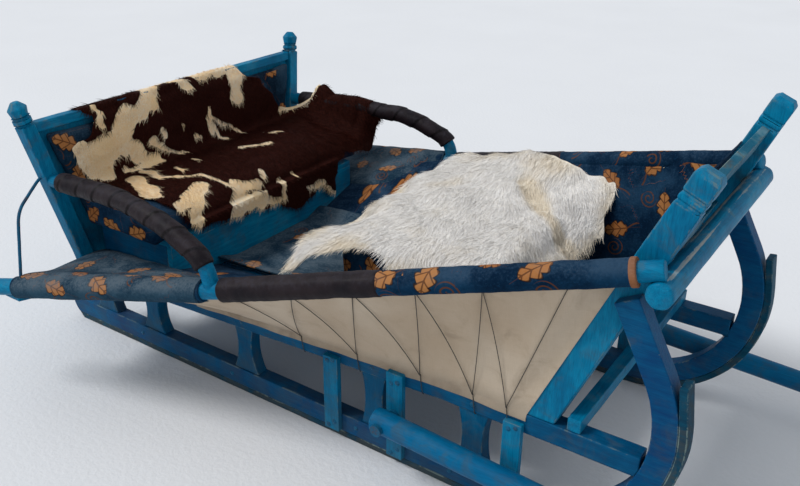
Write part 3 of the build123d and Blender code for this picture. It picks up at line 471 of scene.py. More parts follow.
@dataclass(frozen=True)
class Leatherette:
    """Dark brown leather cloth wound round a pole, with overlapping turns where it has a pitch."""

    name: str
    pitch: float = 0.0
    around: float = 0.19
    base: Place = (0.008, 0.006, 0.009)
    warm: Place = (0.019, 0.012, 0.014)

    def make(self) -> bpy.types.Material:
        """The material."""
        r = Recipe(self.name)
        here = r.here()
        along, round_it, _ = r.axes(r.node("ShaderNodeUVMap", {"uv_map": "cut"}))
        clouds = r.mottle(here, 14.0, 4.0, 0.6)
        pores = r.cells(here, 620.0)
        creases = r.mottle(here, 55.0, 4.0, 0.65, 1.2)
        colour = r.blend(clouds.above(0.5, 0.2), self.base, self.warm)
        relief = pores * 0.12 + creases * 0.9
        if self.pitch:
            turn = (along / self.pitch - round_it / self.around).part()
            lip = turn.below(0.05, 0.035) + turn.above(0.965, 0.03)
            colour = r.blend(lip.at_most(1.0) * 0.75, colour, (0.004, 0.003, 0.003))
            relief = relief + turn * 1.1
        else:
            seam = (round_it / self.around - 0.12).size().below(0.012, 0.006)
            colour = r.blend(seam, colour, (0.004, 0.003, 0.003))
            relief = relief - seam * 0.8
        dust = (creases * 0.6 + clouds * 0.5).above(0.60, 0.12) * r.facing_up().above(0.3, 0.5)
        colour = r.blend(dust * 0.20, colour, (0.090, 0.095, 0.125))
        rough = creases * 0.3 + dust * 0.2 + 0.34
        return r.finish(colour, rough, relief, 0.0012, Specular_IOR_Level=0.12)


@dataclass(frozen=True)
class WovenCanvas:
    """Unbleached canvas with visible threads, stains and a grubby lower hem."""

    name: str
    base: Place = (0.50, 0.385, 0.270)
    pale: Place = (0.60, 0.495, 0.375)

    def make(self) -> bpy.types.Material:
        """The material."""
        r = Recipe(self.name)
        here = r.here()
        x, _, z = r.axes(here)
        _, up_cloth, _ = r.axes(r.node("ShaderNodeUVMap", {"uv_map": "cut"}))
        weave = (x * 2300.0).wave() * (z * 2300.0).wave()
        level_slubs = r.mottle(r.stretched(here, (40.0, 40.0, 700.0)), 1.0, 2.0)
        slubs = level_slubs + r.mottle(r.stretched(here, (700.0, 40.0, 40.0)), 1.0, 2.0)
        clouds = r.mottle(here, 4.0, 4.0, 0.6, 0.3)
        stains = r.mottle(here, 11.0, 4.0, 0.62, 0.8)
        colour = r.blend(clouds.above(0.5, 0.22), self.base, self.pale)
        colour = r.blend(stains.above(0.60, 0.10) * 0.30, colour, (0.33, 0.235, 0.150))
        colour = r.blend((slubs * 0.5).above(0.52, 0.12) * 0.12, colour, (0.33, 0.25, 0.17))
        hem = up_cloth.below(0.030, 0.030) * (stains * 0.9 + 0.2)
        colour = r.blend(hem.at_most(1.0) * 0.75, colour, (0.140, 0.120, 0.095))
        colour = r.blend(stains.above(0.66, 0.05) * 0.12, colour, (0.20, 0.17, 0.14))
        relief = weave * 0.22 + slubs * 0.35 + r.mottle(here, 26.0, 3.0) * 0.9
        return r.finish(colour, 0.9, relief, 0.0010, Specular_IOR_Level=0.2, Sheen_Weight=0.12)


@dataclass(frozen=True)
class LambsWool:
    """Long creamy wool, or the skin under it."""

    name: str
    white: Place = (0.96, 0.935, 0.905)
    cream: Place = (0.90, 0.80, 0.64)
    root: Place = (0.84, 0.78, 0.68)
    strands: bool = True

    def make(self) -> bpy.types.Material:
        """The material."""
        r = Recipe(self.name)
        here = r.here()
        warm = r.mark("warm", "Fac")
        tip = r.mark("tip", "Fac") if self.strands else r.mottle(here, 90.0, 3.0) * 0.35
        tuft = r.mottle(here, 42.0, 3.0, 0.6)
        # Cream follows the warm mark: yellowed wool, and painted shade in the sheepskin's crease.
        colour = r.blend((warm + tuft * 0.30).above(0.62, 0.25), self.white, self.cream)
        colour = r.blend((1 - tip).above(0.72, 0.28) * 0.45, colour, self.root)
        relief = r.mottle(r.stretched(here, (60.0, 300.0, 300.0)), 1.0, 3.0) + r.mottle(here, 60.0, 4.0)
        return r.finish(colour, 0.9, relief, 0.004, Specular_IOR_Level=0.10, Sheen_Weight=0.15)


@dataclass(frozen=True)
class CowHair:
    """Short hair in red-brown and cream patches."""

    name: str
    brown: Place = (0.018, 0.0032, 0.0020)
    russet: Place = (0.052, 0.011, 0.006)
    cream: Place = (0.93, 0.70, 0.40)
    pale: Place = (0.95, 0.88, 0.76)
    strands: bool = True

    def make(self) -> bpy.types.Material:
        """The material."""
        r = Recipe(self.name)
        here = r.here()
        patch = r.mark("patch", "Fac")
        tip = r.mark("tip", "Fac") if self.strands else r.mottle(here, 120.0, 3.0)
        flow = r.mottle(r.stretched(here, (70.0, 260.0, 200.0)), 1.0, 3.0, 0.6)
        ragged = r.mottle(here, 70.0, 3.0, 0.7) - 0.5
        dark = r.blend((flow * 0.6 + tip * 0.35).above(0.56, 0.22), self.brown, self.russet)
        light = r.blend((flow * 0.7 + r.mottle(here, 9.0) * 0.5).above(0.68, 0.2), self.cream, self.pale)
        light = r.blend((1 - tip).above(0.80, 0.20) * 0.20, light, (0.62, 0.42, 0.22))
        is_brown = (patch + ragged * 0.10).above(0.0, 0.03)
        colour = r.blend(is_brown, light, dark)
        relief = flow + r.mottle(here, 120.0, 3.0) * 0.6
        return r.finish(colour, flow * 0.2 + 0.55, relief, 0.0025, Specular_IOR_Level=0.05)


@dataclass(frozen=True)
class PaintedIron:
    """Hand-painted iron with a little rust where the paint is rubbed."""

    name: str
    paint: Place = (0.006, 0.105, 0.210)
    rust: Place = (0.100, 0.040, 0.018)
    rusty: float = 0.4

    def make(self) -> bpy.types.Material:
        """The material."""
        r = Recipe(self.name)
        here = r.here()
        clouds = r.mottle(here, 40.0, 4.0, 0.62)
        fine = r.mottle(here, 190.0, 4.0, 0.7)
        rubbed = (clouds * 0.6 + fine * 0.55).above(0.64, 0.06) * self.rusty
        colour = r.blend(clouds.above(0.5, 0.2), self.paint, tuple(k * 0.7 for k in self.paint))
        colour = r.blend(rubbed, colour, self.rust)
        return r.finish(colour, rubbed * 0.4 + 0.36, fine + clouds * 0.6, 0.0006, Specular_IOR_Level=0.15)


@dataclass(frozen=True)
class PlainGround:
    """A pale floor with a faint unevenness."""

    name: str
    tone: Place = (0.80, 0.815, 0.84)

    def make(self) -> bpy.types.Material:
        """The material."""
        r = Recipe(self.name)
        here = r.here()
        clouds = r.mottle(here, 1.1, 3.0, 0.5)
        colour = r.blend(clouds.above(0.5, 0.3) * 0.5, self.tone, tuple(k * 0.94 for k in self.tone))
        return r.finish(colour, 0.95, r.mottle(here, 60.0, 3.0), 0.002, Specular_IOR_Level=0.1)


class Palette:
    """Every finish of the sleigh, each made once."""

    def __init__(self) -> None:
        """Makes the materials."""
        self.rail = WornPaint(
            "paint_lengthwise", (0.001, 0.102, 0.225), (0.001, 0.052, 0.135), chalk=0.12
        ).make()
        self.upright = WornPaint("paint_upright", grain=Grain.UPRIGHT, chalk=0.22).make()
        self.strut = WornPaint(
            "paint_struts", (0.001, 0.108, 0.225), (0.001, 0.060, 0.145), Grain.UPRIGHT
        ).make()
        self.across = WornPaint("paint_across", grain=Grain.ACROSS, chalk=0.30).make()
        self.worn_board = WornPaint(
            "paint_scoured", (0.02, 0.15, 0.22), (0.004, 0.09, 0.17), Grain.UPRIGHT, 0.8, 0.9, 1.0, 0.4
        ).make()
        self.log = WornPaint(
            "paint_log",
            grain=Grain.ACROSS,
            dirt=0.3,
            chalk=0.6,
            chips=0.9,
            scuff=(0.28, 0.36, 0.39),
            wood=(0.36, 0.38, 0.37),
        ).make()
        self.stick = WornPaint("paint_sticks", chalk=0.3).make()
        self.shaft = WornPaint(
            "paint_shafts", (0.001, 0.150, 0.315), (0.001, 0.105, 0.245), chalk=0.15
        ).make()
        self.curl = WornPaint(
            "paint_curl", (0.001, 0.105, 0.235), (0.001, 0.045, 0.145), dirt=0.3, chalk=0.12
        ).make()
        self.sole = WornPaint(
            "paint_soles",
            (0.003, 0.085, 0.150),
            (0.004, 0.036, 0.070),
            dirt=0.7,
            chalk=0.3,
            chips=0.9,
            shine=0.42,
        ).make()
        self.velour = LeafVelour("leaf_velour").make()
        # A lighter, greyer copy for the floor and decks: frost on the cloth, and painted light that lifts the
        # shaded floor.
        self.frosted = LeafVelour(
            "leaf_velour_frosted", (0.008, 0.028, 0.052), (0.020, 0.064, 0.105), 0.8
        ).make()
        self.dark_velour = LeafVelour(
            "leaf_velour_dark", (0.003, 0.011, 0.024), (0.006, 0.036, 0.072), 0.30
        ).make()
        self.rust_cloth = LeafVelour("rust_selvedge", (0.16, 0.06, 0.025), (0.30, 0.13, 0.06), 0.3).make()
        self.grip = Leatherette("leather_grip").make()
        self.wound = Leatherette("leather_wound", pitch=0.085, around=0.188).make()
        self.canvas = WovenCanvas("side_canvas").make()
        self.wool = LambsWool("wool_strands").make()
        self.fleece_skin = LambsWool("wool_skin", strands=False).make()
        self.hair = CowHair("cow_hair").make()
        self.hide_skin = CowHair("cow_skin", strands=False).make()
        self.iron = PaintedIron("painted_iron").make()
        self.bare_iron = PaintedIron("rusty_nails", (0.045, 0.045, 0.05), (0.13, 0.06, 0.03), 0.8).make()
        self.tack = PaintedIron("pale_tacks", (0.55, 0.50, 0.38), (0.30, 0.22, 0.14), 0.5).make()
        self.lacing = PaintedIron("lacing_twine", (0.055, 0.055, 0.050), (0.12, 0.10, 0.08), 0.6).make()
        self.ground = PlainGround("pale_ground").make()


# Shapes


def rounded_line(corners: Sequence[Vector], radii: Sequence[float], step: float) -> list[Vector]:
    """Points along a line of straight runs joined by arcs.

    Args:
        corners: The ends and the corners.
        radii: The radius at each inner corner.
        step: The distance between points.

    Returns:
        Evenly spaced points.
    """
    rough = [corners[0]]
    for before, corner, after, radius in zip(corners, corners[1:], corners[2:], radii):
        into = (corner - before).normalized()
        away = (after - corner).normalized()
        angle = into.angle(away)
        tangent = radius * math.tan(angle / 2)
        inward = (away - into * away.dot(into)).normalized()
        centre = corner - into * tangent + inward * radius
        count = max(3, int(angle * radius / step) + 2)
        for index in range(count + 1):
            turn = angle * index / count
            rough.append(centre - inward * radius * math.cos(turn) + into * radius * math.sin(turn))
    rough.append(corners[-1])
    return evenly(rough, step)


def smooth_line(points: Sequence[Vector], step: float) -> list[Vector]:
    """Points along a smooth curve through others.

    Args:
        points: The points that the curve passes.
        step: The distance between the results.

    Returns:
        Evenly spaced points.
    """
    ends = [points[0] * 2 - points[1], *points, points[-1] * 2 - points[-2]]
    rough = []
    for a, b, c, d in zip(ends, ends[1:], ends[2:], ends[3:]):
        for index in range(12):
            t = index / 12
            lower_terms = 2 * b + (c - a) * t + (2 * a - 5 * b + 4 * c - d) * t**2
            rough.append(0.5 * (lower_terms + (3 * b - a - 3 * c + d) * t**3))
    rough.append(points[-1].copy())
    return evenly(rough, step)


def evenly(line: Sequence[Vector], step: float) -> list[Vector]:
    """The same line with points at equal distances."""
    total = line_length(line)
    count = max(2, round(total / step))
    wanted = total / count
    result = [line[0].copy()]
    passed = 0.0
    for a, b in zip(line, line[1:]):
        length = (b - a).length
        while length > 0 and passed + length >= wanted * len(result) - 1e-9 and len(result) < count:
            result.append(a.lerp(b, (wanted * len(result) - passed) / length))
        passed += length
    result.append(line[-1].copy())
    return result


def part_of_line(line: Sequence[Vector], start: float, end: float, step: float) -> list[Vector]:
    """The stretch of a line between two distances along it."""
    kept = []
    passed = 0.0
    for a, b in zip(line, line[1:]):
        length = (b - a).length
        if not kept and passed + length >= start:
            kept.append(a.lerp(b, (start - passed) / length))
        if kept and passed + length >= end:
            kept.append(a.lerp(b, (end - passed) / length))
            break
        if kept:
            kept.append(b.copy())
        passed += length
    return evenly(kept, step)


def ripple(point: Vector, pitch: float, seed: float = 0.0) -> float:
    """Smooth noise about 0 with lumps about a pitch apart."""
    return noise.noise(point / pitch + Vector((seed, seed * 0.37, -seed)))


def smoothstep(value: float, low: float, high: float) -> float:
    """0 below low, 1 above high and smooth between."""
    share = min(1.0, max(0.0, (value - low) / (high - low)))
    return share * share * (3 - 2 * share)


def on_tube(length: float, turn: float, reach: float = 0.03) -> Vector:
    """A place in the noise for a point on a stick, which meets itself after a whole turn."""
    return Vector((length, math.cos(turn) * reach, math.sin(turn) * reach))


def line_length(line: Sequence[Vector]) -> float:
    """The length of a line of points."""
    return sum((b - a).length for a, b in zip(line, line[1:]))


def mesh_piece(
    name: str,
    points: Sequence[Vector],
    faces: Sequence[Sequence[int]],
    cuts: Optional[Sequence[Sequence[Place]]] = None,
    sharp: float = 50.0,
) -> bpy.types.Object:
    """An object in the scene from points and faces.

    Args:
        name: The object's name.
        points: Its vertices, in the frame.
        faces: Its faces, as indices.
        cuts: For each face, the flat place of each corner in metres.
        sharp: Edges that turn by more than this many degrees are shaded sharp.

    Returns:
        The object.
    """
    mesh = bpy.data.meshes.new(name)
    mesh.from_pydata([tuple(point) for point in points], [], [tuple(face) for face in faces])
    if cuts is not None:
        layer = mesh.uv_layers.new(name="cut")
        flat = [value for face in cuts for corner in face for value in corner]
        layer.data.foreach_set("uv", flat)
    made = bpy.data.objects.new(name, mesh)
    bpy.context.scene.collection.objects.link(made)
    shade(made, sharp)
    return made


def shade(piece: bpy.types.Object, sharp: float) -> None:
    """Shades a piece smooth, with edges sharp past an angle in degrees."""
    mesh = piece.data
    mesh.polygons.foreach_set("use_smooth", [True] * len(mesh.polygons))
    mesh.set_sharp_from_angle(angle=math.radians(sharp))
    mesh.update()


def set_mark(piece: bpy.types.Object, name: str, values: Iterable[Any], kind: str = "FLOAT") -> None:
    """Stores a value for each vertex under a name.

    Args:
        piece: The mesh object.
        name: The attribute's name.
        values: One number, or one triple, for each vertex.
        kind: FLOAT or FLOAT_VECTOR.
    """
    found = piece.data.attributes.get(name) or piece.data.attributes.new(name, kind, "POINT")
    if kind == "FLOAT":
        found.data.foreach_set("value", list(values))
    else:
        found.data.foreach_set("vector", [number for triple in values for number in triple])


def settled(piece: bpy.types.Object) -> bpy.types.Object:
    """Turns a piece with modifiers into a plain mesh of the same name."""
    bpy.context.view_layer.update()
    graph = bpy.context.evaluated_depsgraph_get()
    shown = piece.evaluated_get(graph)
    mesh = bpy.data.meshes.new_from_object(shown, preserve_all_data_layers=True, depsgraph=graph)
    old = piece.data
    piece.modifiers.clear()
    piece.data = mesh
    mesh.name = piece.name
    if old.users == 0:
        bpy.data.meshes.remove(old)
    return piece


@dataclass(frozen=True)
class LeafSpot:
    """One woven leaf: where its middle lies on the flat cloth, its turn in degrees and half its length."""

    along: float
    across: float
    turn: float
    half: float = 0.040
    tone: float = 0.5


BARE: Place = (9.0, 9.0, -4.0)


def leaf_marks(
    flat: Sequence[tuple[float, float]], spots: Sequence[LeafSpot], around: float = 0.0, strip: float = 0.007
) -> list[Place]:
    """For each flat point, its place in the frame of the nearest leaf, or a far one.

    Args:
        flat: The points on the flat cloth.
        spots: The leaves.
        around: The width at which the cloth meets itself, or 0.
        strip: How near the border between two leaves the cloth is left bare.

    Returns:
        The local place and the tone of the leaf, or BARE.
    """
    result = []
    frames = [(s, math.cos(math.radians(s.turn)), math.sin(math.radians(s.turn))) for s in spots]
    for u, v in flat:
        best = BARE
        nearest = 9.0
        second = 9.0
        for spot, cosine, sine in frames:
            du = u - spot.along
            dv = v - spot.across
            if around:
                dv = (dv + around / 2) % around - around / 2
            gap = math.hypot(du, dv)
            if gap < nearest:
                second = nearest
                nearest = gap
                ahead = du * cosine + dv * sine
                aside = dv * cosine - du * sine
                best = (ahead / spot.half, aside / spot.half, spot.tone)
            elif gap < second:
                second = gap
        lost = math.hypot(best[0], best[1]) > 2.45 or second - nearest < strip
        result.append(BARE if lost else best)
    return result


@dataclass
class RoundStock:
    """A long round form along a line: a pole, a sleeve, a shaft or a rod."""

    name: str
    line: Sequence[Vector]
    radius: Callable[[float, float], float]
    sides: int = 24
    rim: float = 0.003
    spots: Sequence[LeafSpot] = ()

    def build(self) -> bpy.types.Object:
        """The closed mesh, with its flat places along and around it.

        Returns:
            The object.
        """
        line = list(self.line)
        lengths = [0.0]
        for a, b in zip(line, line[1:]):
            lengths.append(lengths[-1] + (b - a).length)
        total = lengths[-1]
        tangents = []
        for index in range(len(line)):
            before = line[max(0, index - 1)]
            after = line[min(len(line) - 1, index + 1)]
            tangents.append((after - before).normalized())
        up = Vector((0, 0, 1))
        aside = tangents[0].cross(up).normalized()
        stations = []
        for centre, tangent, length in zip(line, tangents, lengths):
            aside = (aside - tangent * aside.dot(tangent)).normalized()
            stations.append((centre, tangent, aside.copy(), length, 0.0))
        first = stations[0]
        last = stations[-1]
        rim = self.rim
        head = [(first[0], *first[1:4], rim), (first[0] + first[1] * rim * 0.3, *first[1:4], rim * 0.35)]
        tail = [(last[0] - last[1] * rim * 0.3, *last[1:4], rim * 0.35), (last[0], *last[1:4], rim)]
        stations = [*head, (first[0] + first[1] * rim, *first[1:]), *stations[1:-1]]
        stations += [(last[0] - last[1] * rim, *last[1:]), *tail]
        points: list[Vector] = []
        flat: list[tuple[float, float]] = []
        mean = self.radius(total / 2, 0.0)
        around = 2 * math.pi * mean
        for centre, tangent, sideways, length, sunk in stations:
            above = sideways.cross(tangent)
            for index in range(self.sides):
                share = index / self.sides
                turn = 2 * math.pi * share - math.pi / 2
                size = self.radius(length, turn) - sunk
                points.append(centre + (sideways * math.cos(turn) + above * math.sin(turn)) * size)
                flat.append((length, share * around))
        faces: list[tuple[int, ...]] = []
        cuts: list[list[Place]] = []
        count = self.sides
        for ring in range(len(stations) - 1):
            for index in range(count):
                a = ring * count + index
                b = ring * count + (index + 1) % count
                faces.append((a, b, b + count, a + count))
                low = index / count * around
                high = (index + 1) / count * around
                near = stations[ring][3]
                far = stations[ring + 1][3]
                cuts.append([(near, low), (near, high), (far, high), (far, low)])
        for ring, centre, flip in ((0, stations[0][0], True), (len(stations) - 1, stations[-1][0], False)):
            points.append(centre.copy())
            flat.append((stations[ring][3], 0.0))
            hub = len(points) - 1
            for index in range(count):
                a = ring * count + index
                b = ring * count + (index + 1) % count
                corner = (b, a, hub) if flip else (a, b, hub)
                faces.append(corner)
                spread = [self._end_place(points[k], centre, stations[ring]) for k in corner]
                cuts.append(spread)
        made = mesh_piece(self.name, points, faces, cuts, 55.0)
        if self.spots:
            set_mark(made, "leaf", leaf_marks(flat, self.spots, around), "FLOAT_VECTOR")
        return made

    @staticmethod
    def _end_place(point: Vector, centre: Vector, station: tuple) -> Place:
        """The flat place of a point on an end face."""
        offset = point - centre
        sideways = station[2]
        above = sideways.cross(station[1])
        return (station[3] + offset.dot(sideways), offset.dot(above))


@dataclass
class ClothGrid:
    """A sheet laid out as rows of points, given its thickness and its flat places."""

    name: str
    rows: Sequence[Sequence[Vector]]
    thickness: float
    spots: Sequence[LeafSpot] = ()
    keep: Optional[Callable[[int, int], bool]] = None
    marks: dict[str, list[float]] = field(default_factory=dict)
    outward: Optional[Vector] = None

    def flat_places(self) -> list[tuple[float, float]]:
        """The place of each point on the flat cloth, in metres along the rows and across them."""
        flat = []
        middle = len(self.rows[0]) // 2
        across = 0.0
        for index, row in enumerate(self.rows):
            if index:
                across += (row[middle] - self.rows[index - 1][middle]).length
            along = 0.0
            for column, point in enumerate(row):
                if column:
                    along += (point - row[column - 1]).length
                flat.append((along, across))
        return flat

    def build(self) -> bpy.types.Object:
        """The sheet as a closed thin shell.

        Returns:
            The object.
        """
        wide = len(self.rows[0])
        points = [point for row in self.rows for point in row]
        flat = self.flat_places()
        faces = []
        cuts = []
        for row in range(len(self.rows) - 1):
            for column in range(wide - 1):
                if self.keep and not self.keep(row, column):
                    continue
                a = row * wide + column
                corners = (a, a + 1, a + 1 + wide, a + wide)
                faces.append(corners)
                cuts.append([flat[k] for k in corners])
        if self.outward is not None and faces:
            a, b, c, d = faces[len(faces) // 2]
            normal = (points[c] - points[a]).cross(points[d] - points[b])
            if normal.dot(self.outward) < 0:
                faces = [tuple(reversed(face)) for face in faces]
                cuts = [list(reversed(face)) for face in cuts]
        made = mesh_piece(self.name, points, faces, cuts, 70.0)
        if self.spots:
            set_mark(made, "leaf", leaf_marks(flat, self.spots), "FLOAT_VECTOR")
        for name, values in self.marks.items():
            set_mark(made, name, values)
        if self.keep:
            self._drop_loose(made)
        if self.thickness:
            thicken(made, self.thickness)
        return made

    @staticmethod
    def _drop_loose(made: bpy.types.Object) -> None:
        """Takes out points with no face and evens the ragged edge."""
        shape = bmesh.new()
        shape.from_mesh(made.data)
        loose = [vertex for vertex in shape.verts if not vertex.link_faces]
        bmesh.ops.delete(shape, geom=loose, context="VERTS")
        for _ in range(5):
            moved = {}
            for vertex in shape.verts:
                if not vertex.is_boundary:
                    continue
                near = [edge.other_vert(vertex).co for edge in vertex.link_edges if edge.is_boundary]
                if len(near) == 2:
                    moved[vertex] = vertex.co * 0.4 + (near[0] + near[1]) * 0.3
            for vertex, place in moved.items():
                vertex.co = place
        shape.to_mesh(made.data)
        shape.free()
        made.data.update()


@dataclass(frozen=True)
class Hewing:
    """How a timber piece is finished off: the width of its worn edges, its cuts and its uneven faces."""

    edge: float = 0.0045
    cut: float = 0.045
    uneven: float = 0.0009
    corner: float = 24.0


class Bench:
    """Makes pieces ready: shapes timber from the frame's nodes, and puts each piece on its body."""

    def __init__(self, palette: Palette) -> None:
        """Remembers the finishes.

        Args:
            palette: The sleigh's finishes.
        """
        self.palette = palette
        self.count = 0

    def put(
        self,
        piece: bpy.types.Object,
        material: bpy.types.Material,
        body: str = "sleigh",
        replaces: Sequence[str] = (),
    ) -> bpy.types.Object:
        """Gives a piece its finish, its body and the nodes that it stands for.

        Args:
            piece: The mesh object.
            material: Its finish.
            body: The body that it rides on.
            replaces: The nodes that it hides.

        Returns:
            The piece.
        """
        piece.data.materials.clear()
        piece.data.materials.append(material)
        piece.data.polygons.foreach_set("material_index", [0] * len(piece.data.polygons))
        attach(piece, body)
        if replaces:
            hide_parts(*replaces)
        self.count += 1
        LOG.info("%s: %d faces", piece.name, len(piece.data.polygons))
        return piece

    def refinish(self, node: str, material: bpy.types.Material) -> None:
        """Gives a node of the frame a better material, its shape unchanged."""
        target = frame["nodes"][node]
        if target.material_slots:
            for holder in target.material_slots:
                holder.material = material
        else:
            target.data.materials.append(material)

    def hew(self, node: str, material: bpy.types.Material, hewing: Hewing = Hewing()) -> bpy.types.Object:
        """A timber piece from its node, with worn edges and faces that aren't quite flat.

        Args:
            node: The node's name.
            material: The paint.
            hewing: The sizes of its finish.

        Returns:
            The piece, in place of its node.
        """
        shape = bmesh.new()
        shape.from_mesh(frame["nodes"][node].data)
        bmesh.ops.remove_doubles(shape, verts=shape.verts, dist=2e-5)
        bmesh.ops.dissolve_limit(shape, angle_limit=math.radians(0.6), verts=shape.verts, edges=shape.edges)
        bmesh.ops.dissolve_degenerate(shape, dist=1e-3, edges=shape.edges)
        mark = shape.verts.layers.float.new("worn_edge")
        limit = math.radians(hewing.corner)
        worn = [edge for edge in shape.edges if edge.is_manifold and edge.calc_face_angle() > limit]
        result = bmesh.ops.bevel(
            shape,
            geom=worn,
            offset=hewing.edge,
            offset_type="OFFSET",
            segments=4,
            profile=0.66,
            affect="EDGES",
            clamp_overlap=False,
            loop_slide=True,
        )
        rounded = set(result["faces"])
        for vertex in {vertex for face in rounded for vertex in face.verts}:
            inner = all(face in rounded for face in vertex.link_faces)
            vertex[mark] = 1.0 if inner else 0.15
        self._cross_cut(shape, hewing.cut)
        shape.normal_update()
        seed = sum(ord(letter) for letter in node) * 0.13
        for vertex in shape.verts:
            lump = ripple(vertex.co, 0.11, seed) * 1.0 + ripple(vertex.co, 0.035, seed) * 0.45
            vertex.co += vertex.normal * lump * hewing.uneven
        mesh = bpy.data.meshes.new(f"{node}_timber")
        shape.to_mesh(mesh)
        shape.free()
        for name in [layer.name for layer in mesh.uv_layers]:
            mesh.uv_layers.remove(mesh.uv_layers[name])
        piece = bpy.data.objects.new(f"{node}_timber", mesh)
        bpy.context.scene.collection.objects.link(piece)
        shade(piece, 42.0)
        even = piece.modifiers.new("even", "WEIGHTED_NORMAL")
        even.keep_sharp = True
        even.weight = 80
        settled(piece)
        slot = frame_slot(node)
        return self.put(piece, material, body_of_node(node), [node])

    @staticmethod
    def _cross_cut(shape: bmesh.types.BMesh, step: float) -> None:
        """Cuts a shape by planes across its three axes, so that long faces can be uneven."""
        places = [vertex.co for vertex in shape.verts]
        for axis in range(3):
            low = min(place[axis] for place in places)
            high = max(place[axis] for place in places)
            count = int((high - low) / step)
            normal = Vector((0, 0, 0))
            normal[axis] = 1.0
            for index in range(1, count + 1):
                origin = Vector((0, 0, 0))
                origin[axis] = low + (high - low) * index / (count + 1)
                bmesh.ops.bisect_plane(
                    shape,
                    geom=[*shape.verts, *shape.edges, *shape.faces],
                    dist=1e-5,
                    plane_co=origin,
                    plane_no=normal,
                )


def frame_slot(node: str) -> str:
    """The record's slot of a node."""
    for part in frame["record"].get("subparts", []):
        if part["node"] == node:
            return part["material_slot"]
    return "blue_paint"


def body_of_node(node: str) -> str:
    """The body that a node rides on."""
    for name, members in frame["record"]["behaviour"]["bodies"].items():
        if node in members:
            return name
    return "sleigh"


# Lines that several sub-assemblies share


@dataclass(frozen=True)
class RailLine:
    """The rail and the floor over it, in millimetres."""

    tail: float = 60.0
    level: float = 1560.0
    low: float = 195.0
    high: float = 268.0
    thin: float = 40.0
    thick: float = 56.0
    deck: float = 56.0

    def bottom(self, station: float) -> float:
        """The height of the rail's underside."""
        return self.low + (self.high - self.low) * self._share(station)

    def top(self, station: float) -> float:
        """The height of the rail's top."""
        return self.bottom(station) + self.thin + (self.thick - self.thin) * self._share(station)

    def floor(self, station: float) -> float:
        """The height of the floor boards' top."""
        return self.top(station) + self.deck

    def _share(self, station: float) -> float:
        """How far along its slope a station is."""
        return (min(station, self.level) - self.tail) / (self.level - self.tail)


@dataclass(frozen=True)
class PoleLine:
    """The long side pole, in millimetres."""

    tip: tuple[float, float, float] = (2080.0, 396.0, 801.0)
    knee: tuple[float, float, float] = (977.0, 610.0, 501.0)
    tail: tuple[float, float, float] = (90.0, 800.0, 321.0)
    bend: float = 1500.0

    def line(self, side: Side, step: float = 0.016) -> list[Vector]:
        """Points from the tip to the tail."""
        corners = [LAYOUT.place(*point, side) for point in (self.tip, self.knee, self.tail)]
        return rounded_line(corners, [self.bend / 1000.0], step)

    def stretch(self, side: Side, start: float, end: float, step: float = 0.008) -> list[Vector]:
        """Points between two distances from the tip, in millimetres."""
        return part_of_line(self.line(side), start / 1000.0, end / 1000.0, step)

    def at(self, station: float) -> tuple[float, float]:
        """How far out and how high the pole's centre is at a station."""
        first, second = (self.knee, self.tip) if station >= self.knee[0] else (self.knee, self.tail)
        share = (station - first[0]) / (second[0] - first[0])
        return first[1] + (second[1] - first[1]) * share, first[2] + (second[2] - first[2]) * share


RAIL = RailLine()
POLE = PoleLine()
POLE_RADIUS = 26.0
RAIL_FACE = 400.0
SEAT_FACE = 622.0


# Sub-assemblies


@dataclass
class TimberFrame:
    """Runners, soles, posts, plates, rails, beams, boards and corner posts, all hewn and painted."""

    rough: Hewing = Hewing()
    slim: Hewing = Hewing(edge=0.0028, uneven=0.0006)
    worn: Hewing = Hewing(edge=0.0055, uneven=0.0013)

    def build(self, bench: Bench) -> None:
        """Makes every timber piece.

        Args:
            bench: Where the pieces are made ready.
        """
        paint = bench.palette
        paired = [
            # node, finish, hewing
            ("runner", paint.curl, self.rough),
            ("sole", paint.sole, self.rough),
            ("posts", paint.strut, self.rough),
            ("plates", paint.upright, self.slim),
            ("rail", paint.rail, self.rough),
            ("front_post", paint.upright, self.worn),
            ("rear_post", paint.upright, self.worn),
        ]
        single = [
            ("cross_beams", paint.across, self.slim),
            ("floor_boards", paint.rail, self.slim),
            ("rear_sill", paint.across, self.rough),
            ("back_rail", paint.across, self.rough),
            ("back_boards", paint.upright, self.slim),
            ("seat_front_board", paint.across, self.slim),
            ("seat_sides", paint.rail, self.slim),
            ("seat_board", paint.across, self.slim),
            ("front_boards", paint.worn_board, self.slim),
        ]
        for name, material, hewing in paired:
            for side in Side:
                bench.hew(f"{name}_{side.word}", material, hewing)
        for name, material, hewing in single:
            bench.hew(name, material, hewing)


